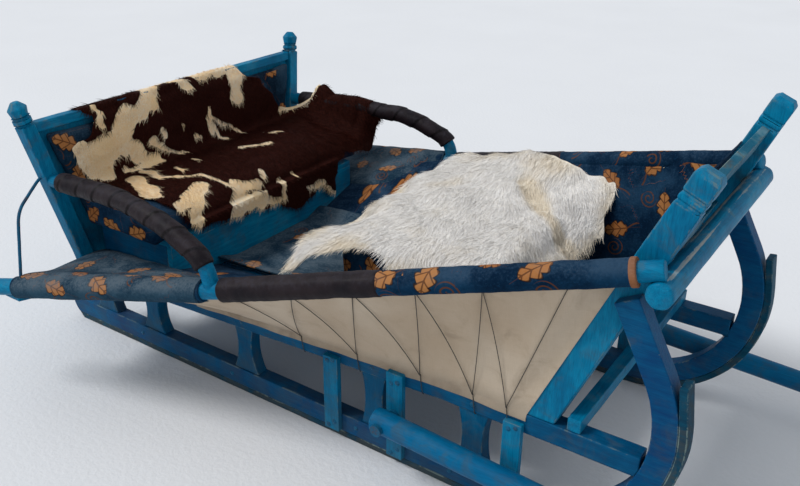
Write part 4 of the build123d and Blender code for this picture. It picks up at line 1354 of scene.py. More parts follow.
@dataclass
class SidePoles:
    """The two long poles, with a velour sleeve, a leather grip and a second sleeve along each."""

    radius: float = 0.0258
    sleeve: float = 0.0316
    grip_radius: float = 0.0330
    front_sleeve: tuple[float, float] = (58.0, 664.0)
    grip: tuple[float, float] = (660.0, 1136.0)
    rear_sleeve: tuple[float, float] = (1196.0, 1884.0)
    front_leaves: Sequence[LeafSpot] = (
        LeafSpot(0.212, 0.118, 30.0, 0.042, 0.6), LeafSpot(0.322, 0.092, 160.0, 0.030, 0.4),
        LeafSpot(0.472, 0.130, 65.0, 0.044, 0.8), LeafSpot(0.590, 0.125, 20.0, 0.042, 0.9),
    )
    rear_leaves: Sequence[LeafSpot] = (
        LeafSpot(0.060, 0.120, 20.0, 0.036, 0.4), LeafSpot(0.190, 0.135, 200.0, 0.040, 0.7),
        LeafSpot(0.330, 0.120, 10.0, 0.036, 0.3), LeafSpot(0.470, 0.135, 170.0, 0.038, 0.6),
        LeafSpot(0.590, 0.120, 30.0, 0.036, 0.5),
    )

    def build(self, bench: Bench) -> None:
        """Makes both poles with what is on them.

        Args:
            bench: Where the pieces are made ready.
        """
        for side in Side:
            self._pole(bench, side)
            self._sleeves(bench, side)
            self._grip(bench, side)

    def _pole(self, bench: Bench, side: Side) -> None:
        """The stick itself, with small knots and a whittled tip."""
        seed = 3.0 * side.value

        def radius(length: float, turn: float) -> float:
            lump = ripple(Vector((length, turn * 0.03, 0)), 0.09, seed) * 0.0009
            facet = abs(math.cos(turn * 4 + length * 1.5)) * 0.0006
            slim = 0.0022 * smoothstep(-length, -0.075, -0.055)
            return self.radius + lump - facet - slim

        stick = RoundStock(f"pole_{side.word}", POLE.line(side, 0.02), radius, 32, 0.004).build()
        bench.put(stick, bench.palette.stick, replaces=[f"side_pole_{side.word}"])

    def _sleeves(self, bench: Bench, side: Side) -> None:
        """The velour in front of the grip and behind the arm rest's foot."""
        seed = 7.0 * side.value

        def radius(length: float, turn: float) -> float:
            lump = ripple(on_tube(length, turn), 0.05, seed) * 0.0016
            fold = ripple(Vector((length * 3.0, turn * 0.01, 0)), 0.05, seed + 4) * 0.0008
            seam = math.exp(-(((turn + math.pi / 2) / 0.12) ** 2)) * 0.0012
            return self.sleeve + lump + fold + seam

        def rim(length: float, turn: float) -> float:
            return self.sleeve + 0.0012 + ripple(Vector((length, turn * 0.02, 0)), 0.01, seed) * 0.0006

        ends = {"front": (self.front_sleeve, self.front_leaves), "rear": (self.rear_sleeve, self.rear_leaves)}
        parts = []
        for word, (reach, drawn) in ends.items():
            spots = self._for_side(drawn, side is Side.LEFT)
            line = POLE.stretch(side, *reach)
            parts.append(RoundStock(f"sleeve_{word}_{side.word}", line, radius, 40, 0.003, spots).build())
        joined = join(parts, f"pole_sleeves_{side.word}")
        bench.put(joined, bench.palette.velour, replaces=[f"pole_cover_{side.word}"])
        start = self.front_sleeve[0]
        line = POLE.stretch(side, start - 2.0, start + 13.0, 0.004)
        far_leaf = [LeafSpot(9.0, 9.0, 0.0)]
        band = RoundStock(f"selvedge_{side.word}", line, rim, 40, 0.002, far_leaf).build()
        bench.put(band, bench.palette.rust_cloth)

    def _for_side(self, spots: Sequence[LeafSpot], mirrored: bool) -> list[LeafSpot]:
        """The same leaves on the outer face of either side, seen from outside."""
        around = 2 * math.pi * self.sleeve
        if not mirrored:
            return list(spots)
        return [LeafSpot(s.along + 0.03, around - s.across, 25.0 - s.turn, s.half, 1 - s.tone) for s in spots]

    def _grip(self, bench: Bench, side: Side) -> None:
        """The leather round the middle of the pole, with creases and a lapped seam."""
        seed = 11.0 * side.value

        def radius(length: float, turn: float) -> float:
            crease = ripple(Vector((length * 2.2, turn * 0.012, 0)), 0.03, seed) * 0.0011
            lump = ripple(on_tube(length, turn), 0.07, seed) * 0.0016
            lap = smoothstep(turn, 2.30, 2.36) * 0.0013 * (1 - smoothstep(turn, 2.36, 4.2))
            return self.grip_radius + crease + lump + lap

        line = POLE.stretch(side, *self.grip, 0.006)
        leather = RoundStock(f"grip_{side.word}", line, radius, 48, 0.004).build()
        bench.put(leather, bench.palette.grip, replaces=[f"pole_grip_{side.word}"])


def join(pieces: Sequence[bpy.types.Object], name: str) -> bpy.types.Object:
    """One object from several meshes, with their attributes kept.

    Args:
        pieces: The mesh objects, which are used up.
        name: The name of the result.

    Returns:
        The joined object.
    """
    keeper = pieces[0]
    chosen = list(pieces)
    with bpy.context.temp_override(
        active_object=keeper, object=keeper, selected_objects=chosen, selected_editable_objects=chosen
    ):
        bpy.ops.object.join()
    keeper.name = name
    keeper.data.name = name
    return keeper


@dataclass
class FrontLog:
    """The round log across the front, its upper side scoured pale by use."""

    station: float = 2081.0
    height: float = 752.0
    half: float = 0.426
    radius: float = 0.0309
    scoured: Sequence[tuple[float, float]] = ((126.0, 24.0), (74.0, 9.0))

    def build(self, bench: Bench) -> None:
        """Makes the log.

        Args:
            bench: Where the piece is made ready.
        """
        start = LAYOUT.place(self.station, 0, self.height) - Vector((0, self.half, 0))
        end = LAYOUT.place(self.station, 0, self.height) + Vector((0, self.half, 0))

        def radius(length: float, turn: float) -> float:
            facet = (1 - abs(math.cos(turn * 3.5 + 0.4))) * 0.0010
            lump = ripple(Vector((length, turn * 0.03, 0)), 0.08, 5.0) * 0.0012
            return self.radius - facet + lump * 0.6 - 0.0004

        log = RoundStock("front_log_round", evenly([start, end], 0.014), radius, 36, 0.005).build()
        marks = []
        for vertex in log.data.vertices:
            top = vertex.co.z - start.z
            end_near = smoothstep(abs(vertex.co.y), self.half - 0.02, self.half)
            turn = math.degrees(math.atan2(top, vertex.co.x - start.x))
            broken = ripple(Vector((turn / 500.0, vertex.co.y * 0.10, 0)), 0.03, 4.0) * 1.2 + 0.95
            side = smoothstep(self.half - abs(vertex.co.y), 0.004, 0.030)
            worn = sum(math.exp(-(((turn - at) / wide) ** 2)) for at, wide in self.scoured) * broken * side
            marks.append(worn * 1.6 + end_near * 0.5)
        set_mark(log, "worn_edge", marks)
        bench.put(log, bench.palette.log, replaces=["front_log"])


@dataclass
class ArmRests:
    """Bent sticks from the corner posts down to the poles, wound with leather cloth."""

    points: Sequence[tuple[float, float, float]] = (
        (238.0, 557.0, 629.0), (560.0, 569.0, 654.0), (806.0, 600.0, 640.0), (955.0, 612.0, 575.0),
        (974.0, 613.0, 500.0),
    )
    radii: Sequence[float] = (0.900, 0.380, 0.070)
    radius: float = 0.0218
    wound: float = 0.0300
    gaps: tuple[float, float] = (0.060, 0.070)
    pitch: float = 0.085

    def build(self, bench: Bench) -> None:
        """Makes both arm rests.

        Args:
            bench: Where the pieces are made ready.
        """
        for side in Side:
            corners = [LAYOUT.place(*point, side) for point in self.points]
            line = rounded_line(corners, self.radii, 0.010)
            total = line_length(line)
            seed = 5.0 * side.value

            def stick(length: float, turn: float) -> float:
                return self.radius + ripple(Vector((length, turn * 0.03, 0)), 0.06, seed) * 0.0007

            def winding(length: float, turn: float) -> float:
                around = (turn + math.pi / 2) / (2 * math.pi)
                lap = (length / self.pitch - around) % 1.0
                step = (lap - 0.5) * 0.0026
                soft = ripple(on_tube(length, turn, 0.04), 0.075, seed) * 0.0035
                crease = ripple(Vector((length * 1.6, turn * 0.012, 0)), 0.02, seed) * 0.0007
                return self.wound + step + soft + crease

            core = RoundStock(f"arm_stick_{side.word}", line, stick, 28, 0.004).build()
            bench.put(core, bench.palette.stick, replaces=[f"arm_rest_{side.word}"])
            covered = part_of_line(line, self.gaps[0], total - self.gaps[1], 0.0045)
            cover = RoundStock(f"arm_winding_{side.word}", covered, winding, 48, 0.005).build()
            bench.put(cover, bench.palette.wound, replaces=[f"arm_cover_{side.word}"])


@dataclass
class Shafts:
    """Two round shafts that taper to a notch for the tug, each pivoted on a plate."""

    pivot: tuple[float, float, float] = (1425.0, 462.0, 172.0)
    length: float = 3.0
    heel: float = 0.034
    thick: float = 0.034
    thin: float = 0.023
    notch: tuple[float, float] = (2.790, 2.850)
    notch_depth: float = 0.005

    def radius(self, distance: float, turn: float, seed: float) -> float:
        """The shaft's radius at a distance forward of its pivot.

        Args:
            distance: Metres from the pivot.
            turn: The angle round the shaft.
            seed: A number that its lumps follow.

        Returns:
            The radius in metres.
        """
        rear, front = self.notch
        size = self.thick + (self.thin - self.thick) * min(1.0, max(0.0, distance) / front)
        slope = 0.010
        if rear <= distance <= front:
            into = min(1.0, (distance - rear) / slope, (front - distance) / slope)
            size = size - self.notch_depth * max(0.0, into)
        if distance < -self.heel + 0.006:
            size -= -self.heel + 0.006 - distance
        if distance > self.length - 0.012:
            size -= distance - (self.length - 0.012)
        lump = ripple(on_tube(distance, turn), 0.12, seed) * 0.0006
        return size - 0.0004 + min(0.0004, lump)

    def build(self, bench: Bench) -> None:
        """Makes both shafts.

        Args:
            bench: Where the pieces are made ready.
        """
        drop = math.asin((self.pivot[2] / 1000.0 - self.thin) / self.length)
        along = Vector((math.cos(drop), 0, -math.sin(drop)))
        distances = [-self.heel, -self.heel + 0.006, 0.0]
        distances += [0.03 * index for index in range(1, 92)]
        distances += [2.76, 2.79, 2.80, 2.82, 2.84, 2.85, 2.88, 2.92, 2.96, 2.988, self.length]
        for side in Side:
            pivot = LAYOUT.place(*self.pivot, side)
            line = [pivot + along * distance for distance in distances]
            seed = 2.0 * side.value
            shaft = RoundStock(
                f"shaft_pole_{side.word}",
                line,
                lambda length, turn, seed=seed: self.radius(length - self.heel, turn, seed),
                32,
                0.002,
            ).build()
            body = f"{side.word}_shaft"
            bench.put(shaft, bench.palette.shaft, body, replaces=[f"shaft_{side.word}"])


@dataclass
class SideCloths:
    """On each side, canvas outside, lacing over it and a velour lining inside."""

    rear: float = 660.0
    knee: float = 977.0
    front_foot: float = 1778.0
    front_head: float = 1953.0
    lap: float = 26.0
    post_foot: tuple[float, float] = (397.0, 324.0)
    post_lean: float = 0.0751
    seat_front: float = 626.0
    columns: int = 150
    rows: int = 44
    far_leaves: Sequence[tuple[float, float, float, float, float]] = (
        # station, height, turn, half, tone
        (1936.0, 0.770, 10.0, 0.046, 0.9), (1780.0, 0.720, 60.0, 0.040, 0.6),
        (1838.0, 0.615, 100.0, 0.038, 0.7), (1650.0, 0.640, 150.0, 0.036, 0.4),
        (1520.0, 0.600, 20.0, 0.038, 0.6), (1700.0, 0.500, 200.0, 0.038, 0.5),
        (1330.0, 0.560, 70.0, 0.038, 0.4), (1180.0, 0.500, 10.0, 0.038, 0.6),
        (1020.0, 0.470, 200.0, 0.038, 0.5), (860.0, 0.430, 40.0, 0.038, 0.6),
        (730.0, 0.400, 300.0, 0.038, 0.5),
    )

    def head_station(self, foot: float) -> float:
        """The station at the pole above a station at the rail."""
        if foot <= self.knee:
            return foot
        return self.knee + (foot - self.knee) * (self.front_head - self.knee) / (self.front_foot - self.knee)

    def skin(self, share: float, rise: float) -> tuple[float, float, float]:
        """A point of the side, in millimetres.

        Args:
            share: 0 at its rear end and 1 at the front post.
            rise: 0 at the rail and 1 at the pole.

        Returns:
            Station, distance out and height.
        """
        foot = self.rear + (self.front_foot + self.lap - self.rear) * share
        head = self.head_station(foot)
        out, high = POLE.at(head)
        low = RAIL.top(foot)
        height = low + (high - POLE_RADIUS - low) * rise
        reach = RAIL_FACE + (out - RAIL_FACE) * rise
        reach += (self.post_out(height) + 2.0 - reach) * smoothstep(share, 0.93, 1.0)
        return foot + (head - foot) * rise, reach, height

    def post_out(self, height: float) -> float:
        """How far out the front post's outer face is at a height, in millimetres."""
        out, foot = self.post_foot
        return out - self.post_lean * (height - foot)

    def out_at(self, station: float, height: float) -> float:
        """How far out the canvas is at a station and height, in millimetres."""
        share = (station - self.rear) / (self.front_foot - self.rear)
        rise = 0.5
        for _ in range(12):
            at, _, high = self.skin(share, rise)
            share += (station - at) / (self.front_foot - self.rear)
            slope = self.skin(share, 1.0)[2] - self.skin(share, 0.0)[2]
            rise += (height - high) / slope
        return self.skin(share, rise)[1]

    def build(self, bench: Bench) -> None:
        """Makes the cloths of both sides.

        Args:
            bench: Where the pieces are made ready.
        """
        for side in Side:
            self._canvas(bench, side)
            self._lining(bench, side)
            self._lacing(bench, side)

    def _canvas(self, bench: Bench, side: Side) -> None:
        """The tight canvas, its hem lapped over the rail."""
        seed = 13.0 * side.value
        shares = [column / self.columns for column in range(self.columns + 1)]
        rows = [[self._hem(share, drop, side) for share in shares] for drop in (22.0, 11.0)]
        for row in range(self.rows + 1):
            rise = row / self.rows
            line = []
            for share in shares:
                station, out, height = self.skin(share, rise)
                along = station / 1000.0
                free = 1 - smoothstep(share, 0.86, 0.97)
                held = math.sin(math.pi * rise) ** 0.6 * free
                pulls = ripple(Vector((along - rise * 0.05, 0, height / 4000.0)), 0.055, seed) * 2.6
                slack = ripple(Vector((along, 0, height / 1000.0)), 0.22, seed + 3) * 5.0
                hollow = -6.0 * math.sin(math.pi * rise) * smoothstep(share, 0.0, 0.4) * free
                edge = math.exp(-rise * 14) * 1.5 * math.sin(station / 17.0 + seed)
                reach = out + 1.5 + (pulls + slack) * held + hollow + edge
                line.append(LAYOUT.place(station, reach, height, side))
            rows.append(line)
        outward = Vector((0, side.value, 0))
        cloth = ClothGrid(f"canvas_{side.word}_cloth", rows, 0.0016, outward=outward).build()
        bench.put(cloth, bench.palette.canvas, replaces=[f"canvas_{side.word}"])

    def _hem(self, share: float, drop: float, side: Side) -> Vector:
        """A point of the hem on the rail's outer face."""
        station, _, height = self.skin(share, 0.0)
        wave = math.sin(station / 23.0 + side.value) * 1.2 + math.sin(station / 61.0) * 1.6
        return LAYOUT.place(station, 403.4 + wave * 0.3, height - drop * 0.8 + wave, side)

    def _lining(self, bench: Bench, side: Side) -> None:
        """The velour inside, which comes off the pole and hollows in to the floor."""
        rows = []
        count = 46
        marks: list[tuple[float, float]] = []
        for row in range(count + 1):
            rise = row / count
            line = []
            for column in range(self.columns + 1):
                share = column / self.columns
                foot = self.seat_front + (self.front_foot + 6.0 - self.seat_front) * share
                close = smoothstep(share, 0.90, 1.0)
                head = self.head_station(foot)
                out, high = POLE.at(head)
                low = RAIL.floor(foot) + 5.0
                foot_out = 257.0 + 108.0 * smoothstep(share, 0.25, 0.95)
                top = high + 12.0
                station = foot + (head - foot + 18.0 * close) * rise
                ease = rise ** (1.0 + 0.35 * (1 - share))
                reach = foot_out + (out - POLE_RADIUS - foot_out) * ease
                height = low + (top - low) * (rise ** 1.25)
                reach += (self.post_out(height) - 6.0 - reach) * close
                folds = ripple(Vector((station / 1000.0, 0, height / 3000.0)), 0.10, 17.0 * side.value) * 4.0
                line.append(LAYOUT.place(station, reach + folds * math.sin(math.pi * rise), height, side))
                marks.append((station / 1000.0, height / 1000.0))
            rows.append(line)
        inward = Vector((0, -side.value, 0.4))
        sheet = ClothGrid(f"lining_{side.word}_cloth", rows, 0.0, outward=inward).build()
        spots = [LeafSpot(station / 1000.0, *rest) for station, *rest in self.far_leaves]
        set_mark(sheet, "leaf", leaf_marks(marks, spots, strip=0.012), "FLOAT_VECTOR")
        thicken(sheet, 0.004)
        bench.put(sheet, bench.palette.velour, replaces=[f"side_lining_{side.word}"])

    def _lacing(self, bench: Bench, side: Side) -> None:
        """Twine laced to and fro between the pole and the rail."""
        feet = [1090.0, 1290.0, 1497.0, 1655.0, 1750.0]
        heads = [918.0, 738.0, 568.0, 398.0, 198.0]
        run: list[tuple[bool, float]] = [(True, 1098.0)]
        for foot, head in zip(feet, heads):
            run += [(False, foot), (True, head)]
        line = POLE.line(side)
        strands = []
        for (first_top, first), (_, second) in zip(run, run[1:]):
            top, foot = (first, second) if first_top else (second, first)
            strands.append(self._strand(line, top, foot, side))
        for foot in feet:
            strands.append(self._rail_loop(foot, side))
        twine = join(strands, f"lacing_{side.word}")
        bench.put(twine, bench.palette.lacing)

    def _strand(self, line: Sequence[Vector], top: float, foot: float, side: Side) -> bpy.types.Object:
        """One run of twine from the pole to the rail."""
        head = part_of_line(line, top / 1000.0, top / 1000.0 + 0.02, 0.01)[0]
        start = (head.x + LAYOUT.half_length) * 1000.0
        high = head.z * 1000.0 - POLE_RADIUS
        low = RAIL.top(foot) + 1.0
        points = []
        for index in range(9):
            share = index / 8
            station = start + (foot - start) * share
            height = high + (low - high) * share
            points.append(LAYOUT.place(station, self.out_at(station, height) + 4.5, height, side))
        name = f"twine_{side.word}_{int(top)}_{int(foot)}"
        return RoundStock(name, points, lambda *_: 0.0011, 6, 0.0005).build()

    def _rail_loop(self, foot: float, side: Side) -> bpy.types.Object:
        """The turn of twine that goes down the rail and under it."""
        bends = [(foot, 401.0, RAIL.top(foot) + 3.0), (foot + 3.0, 405.6, RAIL.top(foot) - 6.0)]
        bends += [(foot + 8.0, 403.0, RAIL.bottom(foot) + 6.0), (foot + 10.0, 398.0, RAIL.bottom(foot) - 2.0)]
        line = smooth_line([LAYOUT.place(*bend, side) for bend in bends], 0.006)
        return RoundStock(f"loop_{side.word}_{int(foot)}", line, lambda *_: 0.0012, 6, 0.0005).build()


def thicken(sheet: bpy.types.Object, thickness: float) -> bpy.types.Object:
    """Gives an open sheet its thickness behind its face."""
    thick = sheet.modifiers.new("thickness", "SOLIDIFY")
    thick.thickness = thickness
    thick.offset = -1.0
    settled(sheet)
    shade(sheet, 70.0)
    return sheet


@dataclass
class Padding:
    """Makes a padded form swell from its solid: remesh, cloth with pressure, then smooth."""

    voxel: float = 0.008
    pressure: float = 4.0
    most: float = 0.014
    shrink: float = 0.004
    frames: int = 20
    flat_below: Optional[float] = None

    def swell(self, node: str, name: str) -> bpy.types.Object:
        """The swollen form of a node's solid.

        Args:
            node: The node whose space it fills.
            name: The piece's name.

        Returns:
            The piece, one closed mesh.
        """
        shape = bmesh.new()
        shape.from_mesh(frame["nodes"][node].data)
        bmesh.ops.remove_doubles(shape, verts=shape.verts, dist=2e-5)
        shape.normal_update()
        middle = sum((vertex.co for vertex in shape.verts), Vector()) / len(shape.verts)
        low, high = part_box(node)
        scale = [1 - 2 * self.shrink / max(extent, 0.02) for extent in high - low]
        for vertex in shape.verts:
            offset = vertex.co - middle
            vertex.co = middle + Vector(offset[k] * scale[k] for k in range(3))
        mesh = bpy.data.meshes.new(name)
        shape.to_mesh(mesh)
        shape.free()
        piece = bpy.data.objects.new(name, mesh)
        bpy.context.scene.collection.objects.link(piece)
        blocks = piece.modifiers.new("blocks", "REMESH")
        blocks.mode = "VOXEL"
        blocks.voxel_size = self.voxel
        even = piece.modifiers.new("even", "SMOOTH")
        even.iterations = 6
        even.factor = 0.5
        settled(piece)
        self._inflate(piece)
        finer = piece.modifiers.new("finer", "SUBSURF")
        finer.levels = 1
        finer.render_levels = 1
        settled(piece)
        shade(piece, 80.0)
        return piece

    def _inflate(self, piece: bpy.types.Object) -> None:
        """Runs the cloth and keeps its result, no point further than the cap from where it was."""
        start = [vertex.co.copy() for vertex in piece.data.vertices]
        cloth = piece.modifiers.new("cloth", "CLOTH")
        cloth.settings.use_pressure = True
        cloth.settings.uniform_pressure_force = self.pressure
        cloth.settings.effector_weights.gravity = 0.0
        cloth.settings.quality = 5
        cloth.point_cache.frame_start = 1
        cloth.point_cache.frame_end = self.frames
        for step in range(1, self.frames + 1):
            bpy.context.scene.frame_set(step)
        settled(piece)
        bpy.context.scene.frame_set(1)
        for vertex, before in zip(piece.data.vertices, start):
            move = vertex.co - before
            if move.length > self.most:
                vertex.co = before + move.normalized() * self.most
            if self.flat_below is not None and vertex.co.z < self.flat_below:
                vertex.co.z = self.flat_below
        piece.data.update()


@dataclass
class BoxPrint:
    """Leaves on the faces of a pad, laid out on the face that each point looks towards."""

    spots: dict[str, Sequence[LeafSpot]]

    def print_on(self, piece: bpy.types.Object) -> None:
        """Stores each point's place on the nearest leaf.

        Args:
            piece: The pad.
        """
        groups: dict[str, list[int]] = {}
        flats: dict[str, list[tuple[float, float]]] = {}
        for vertex in piece.data.vertices:
            sizes = [abs(value) for value in vertex.normal]
            axis = sizes.index(max(sizes))
            key = ("+" if vertex.normal[axis] > 0 else "-") + "xyz"[axis]
            point = vertex.co
            flat = {0: (point.y, point.z), 1: (point.x, point.z), 2: (point.x, point.y)}[axis]
            groups.setdefault(key, []).append(vertex.index)
            flats.setdefault(key, []).append(flat)
        marks: list[Place] = [BARE] * len(piece.data.vertices)
        for key, members in groups.items():
            found = leaf_marks(flats[key], self.spots.get(key, ()), strip=0.010)
            for index, mark in zip(members, found):
                marks[index] = mark
        set_mark(piece, "leaf", marks, "FLOAT_VECTOR")


def leaves(rows: Sequence[tuple[float, float, float]], half: float = 0.040) -> list[LeafSpot]:
    """Leaf spots from a table of station, the other coordinate in metres and turn."""
    spots = []
    for index, (station, other, turn) in enumerate(rows):
        along = station / 1000.0 - LAYOUT.half_length
        size = half * (0.92 + 0.16 * ((index * 0.37) % 1.0))
        spots.append(LeafSpot(along, other, turn, size, 0.35 + (index * 0.29) % 0.6))
    return spots


@dataclass
class Seat:
    """The padded seat, its back and the decks at its sides, all in leaf velour."""

    top_leaves: Sequence[tuple[float, float, float]] = (
        (360.0, -0.46, 30.0), (480.0, -0.44, 120.0), (590.0, -0.47, 200.0), (470.0, 0.45, 60.0),
        (580.0, 0.48, 330.0),
    )
    side_leaves: Sequence[tuple[float, float, float]] = (
        (340.0, 0.520, 40.0),
        (420.0, 0.500, 160.0),
        (540.0, 0.505, 20.0),
    )
    back_leaves: Sequence[tuple[float, float, float]] = (
        (-0.47, 0.640, 60.0), (-0.50, 0.740, 150.0), (-0.42, 0.540, 20.0), (0.20, 0.760, 80.0),
        (0.33, 0.700, 200.0), (0.45, 0.770, 20.0), (0.48, 0.600, 120.0),
    )
    deck_leaves: Sequence[tuple[float, float, float]] = (
        (500.0, 0.690, 20.0), (730.0, 0.550, 200.0), (880.0, 0.570, 40.0), (600.0, 0.560, 290.0),
        (400.0, 0.600, 80.0), (340.0, 0.740, 160.0), (700.0, 0.655, 330.0), (470.0, 0.770, 10.0),
        (620.0, 0.730, 30.0), (800.0, 0.665, 200.0),
    )

    deck_ends: tuple[float, float] = (300.0, 942.0)
    deck_inner: tuple[tuple[float, float], tuple[float, float]] = ((297.0, 352.0), (905.0, 392.0))

    def build(self, bench: Bench) -> None:
        """Makes the pads and the decks.

        Args:
            bench: Where the pieces are made ready.
        """
        pad = Padding(voxel=0.0105, most=0.013, flat_below=0.4782).swell("seat_pad", "seat_cushion")
        sides = leaves(self.side_leaves)
        BoxPrint({"+z": leaves(self.top_leaves), "-y": sides, "+y": sides}).print_on(pad)
        bench.put(pad, bench.palette.velour, replaces=["seat_pad"])
        back = Padding(voxel=0.011, most=0.008, shrink=0.003).swell("back_pad", "back_cushion")
        spots = [LeafSpot(y, z, turn, 0.040, 0.6) for y, z, turn in self.back_leaves]
        BoxPrint({"+x": spots}).print_on(back)
        bench.put(back, bench.palette.dark_velour, replaces=["back_pad"])
        for side in Side:
            self._deck(bench, side)

    def _deck(self, bench: Bench, side: Side) -> None:
        """The padded shelf between the seat and the pole, which wraps over the pole."""
        columns = 96
        rows = []
        marks: list[tuple[float, float]] = []
        start, end = self.deck_ends
        rear, front = self.deck_inner
        for column in range(columns + 1):
            share = column / columns
            station = start + (end - start) * share
            out, high = POLE.at(station)
            inner_out = 446.0 + 36.0 * smoothstep(station, 700.0, end)
            inner_high = rear[1] + (front[1] - rear[1]) * (station - rear[0]) / (front[0] - rear[0])
            fades = [math.sin(math.pi * min(1.0, gap * 6 + 0.12) / 2) for gap in (share, 1 - share)]
            puff = fades[0] * fades[1]
            ring = self._deck_ring(out, high, inner_out, inner_high, puff)
            line = []
            reach = inner_out
            last = ring[0]
            for ring_out, ring_high in ring:
                reach += math.hypot(ring_out - last[0], ring_high - last[1])
                last = (ring_out, ring_high)
                place = Vector((station / 1000.0, ring_out / 1000.0, ring_high / 1000.0))
                lump = ripple(place, 0.09, 3.0 * side.value)
                fine = ripple(place, 0.035, 9.0 * side.value)
                height = ring_high + (lump * 3.2 + fine * 1.2) * puff
                line.append(LAYOUT.place(station, ring_out, height, side))
                marks.append((station / 1000.0 - LAYOUT.half_length, reach / 1000.0))
            rows.append(line)
        deck = closed_rings(f"deck_{side.word}_pad", rows, side is Side.LEFT)
        spots = leaves(self.deck_leaves, half=0.038)
        found = leaf_marks(marks, spots, strip=0.010)
        found += [BARE] * (len(deck.data.vertices) - len(found))
        set_mark(deck, "leaf", found, "FLOAT_VECTOR")
        # The frosted copy, lighter with painted light.
        bench.put(deck, bench.palette.frosted, replaces=[f"wing_{side.word}"])

    @staticmethod
    def _deck_ring(
        out: float, high: float, inner_out: float, inner_high: float, puff: float
    ) -> list[tuple[float, float]]:
        """The section of the deck at one station: top, round the pole, and back underneath.

        Args:
            out: The pole's distance out.
            high: The pole's height.
            inner_out: The deck's inner edge.
            inner_high: The height of the deck's underside at its inner edge.
            puff: How full it is there, from 0 to 1.

        Returns:
            Points as (distance out, height), in millimetres.
        """
        ring = []
        wrap = 36.0
        steps = 22
        top_inner = inner_high + 22.0 + 6.0 * puff
        for index in range(steps + 1):
            share = index / steps
            crown = math.sin(math.pi * share) ** 0.7 * 11.0 * puff
            edge = 1 - math.exp(-share * 14)
            lift = smoothstep(share, 0.62, 1.0)
            level = top_inner + (high + 8.0 - top_inner) * share
            ring.append(
                (
                    inner_out + (out - 6.0 - inner_out) * share,
                    (level - 8.0 * (1 - edge)) + crown + (wrap - 8.0) * lift,
                )
            )
        for index in range(1, 15):
            turn = math.radians(100.0 - 190.0 * index / 14)
            ring.append((out + wrap * math.cos(turn), high + wrap * math.sin(turn)))
        for index in range(1, 12):
            share = index / 11
            low = high - wrap + 14.0 * smoothstep(share, 0.0, 0.4)
            level = low + (inner_high - 2.0 - low) * share
            ring.append((out + (inner_out - 2.0 - out) * share, level))
        return ring


def closed_rings(name: str, rings: Sequence[Sequence[Vector]], flip: bool) -> bpy.types.Object:
    """A closed form through rings of points, its ends filled.

    Args:
        name: The object's name.
        rings: Rings of the same number of points.
        flip: True where the rings turn the other way round.

    Returns:
        The object.
    """
    count = len(rings[0])
    points = [point for ring in rings for point in ring]
    faces = []
    for row in range(len(rings) - 1):
        for index in range(count):
            a = row * count + index
            b = row * count + (index + 1) % count
            faces.append((a, b, b + count, a + count))
    for ring, reverse in ((0, True), (len(rings) - 1, False)):
        hub = sum(rings[ring], Vector()) / count
        points.append(hub)
        for index in range(count):
            a = ring * count + index
            b = ring * count + (index + 1) % count
            faces.append((b, a, len(points) - 1) if reverse else (a, b, len(points) - 1))
    if flip:
        faces = [tuple(reversed(face)) for face in faces]
    made = mesh_piece(name, points, faces, None, 70.0)
    shape = bmesh.new()
    shape.from_mesh(made.data)
    bmesh.ops.recalc_face_normals(shape, faces=shape.faces)
    shape.to_mesh(made.data)
    shape.free()
    shade(made, 70.0)
    return made


class Ground:
    """The surfaces that a soft cover lies on, for finding what is under or behind a point."""

    def __init__(self, pieces: Sequence[bpy.types.Object]) -> None:
        """Joins the pieces' faces into one search tree.

        Args:
            pieces: Mesh objects at the origin.
        """
        points: list[Vector] = []
        faces: list[tuple[int, ...]] = []
        for piece in pieces:
            start = len(points)
            points += [vertex.co.copy() for vertex in piece.data.vertices]
            faces += [tuple(start + index for index in face.vertices) for face in piece.data.polygons]
        self.tree = BVHTree.FromPolygons(points, faces)

    def below(self, point: Vector, toward: Vector, reach: float) -> Optional[Vector]:
        """The first surface met from a point in a direction, within a reach."""
        hit, _, _, _ = self.tree.ray_cast(point, toward, reach)
        return hit

    def under(self, x: float, y: float) -> Optional[Vector]:
        """The first surface met on the way down from above the sleigh."""
        return self.below(Vector((x, y, 1.1)), Vector((0, 0, -1)), 0.9)


def smooth_grid(rows: list[list[Vector]], rounds: int, share: float = 0.5) -> list[list[Vector]]:
    """Moves each inner point of a grid towards its neighbours' middle.

    Args:
        rows: The grid.
        rounds: How many times.
        share: How far each time.

    Returns:
        The smoother grid.
    """
    for _ in range(rounds):
        fresh = [list(row) for row in rows]
        for r in range(1, len(rows) - 1):
            for c in range(1, len(rows[r]) - 1):
                middle = (rows[r - 1][c] + rows[r + 1][c] + rows[r][c - 1] + rows[r][c + 1]) / 4
                fresh[r][c] = rows[r][c].lerp(middle, share)
        rows = fresh
    return rows


def inside(outline: Sequence[Place], x: float, y: float) -> bool:
    """True where a flat point lies inside a closed outline."""
    result = False
    for (x0, y0), (x1, y1) in zip(outline, [*outline[1:], outline[0]]):
        if (y0 > y) != (y1 > y) and x < (x1 - x0) * (y - y0) / (y1 - y0) + x0:
            result = not result
    return result


def outline_gap(outline: Sequence[Place], x: float, y: float) -> float:
    """How far a flat point is from an outline."""
    best = 1e9
    for (x0, y0), (x1, y1) in zip(outline, [*outline[1:], outline[0]]):
        run = (x1 - x0) ** 2 + (y1 - y0) ** 2
        share = max(0.0, min(1.0, ((x - x0) * (x1 - x0) + (y - y0) * (y1 - y0)) / max(run, 1e-12)))
        best = min(best, math.hypot(x - x0 - (x1 - x0) * share, y - y0 - (y1 - y0) * share))
    return best


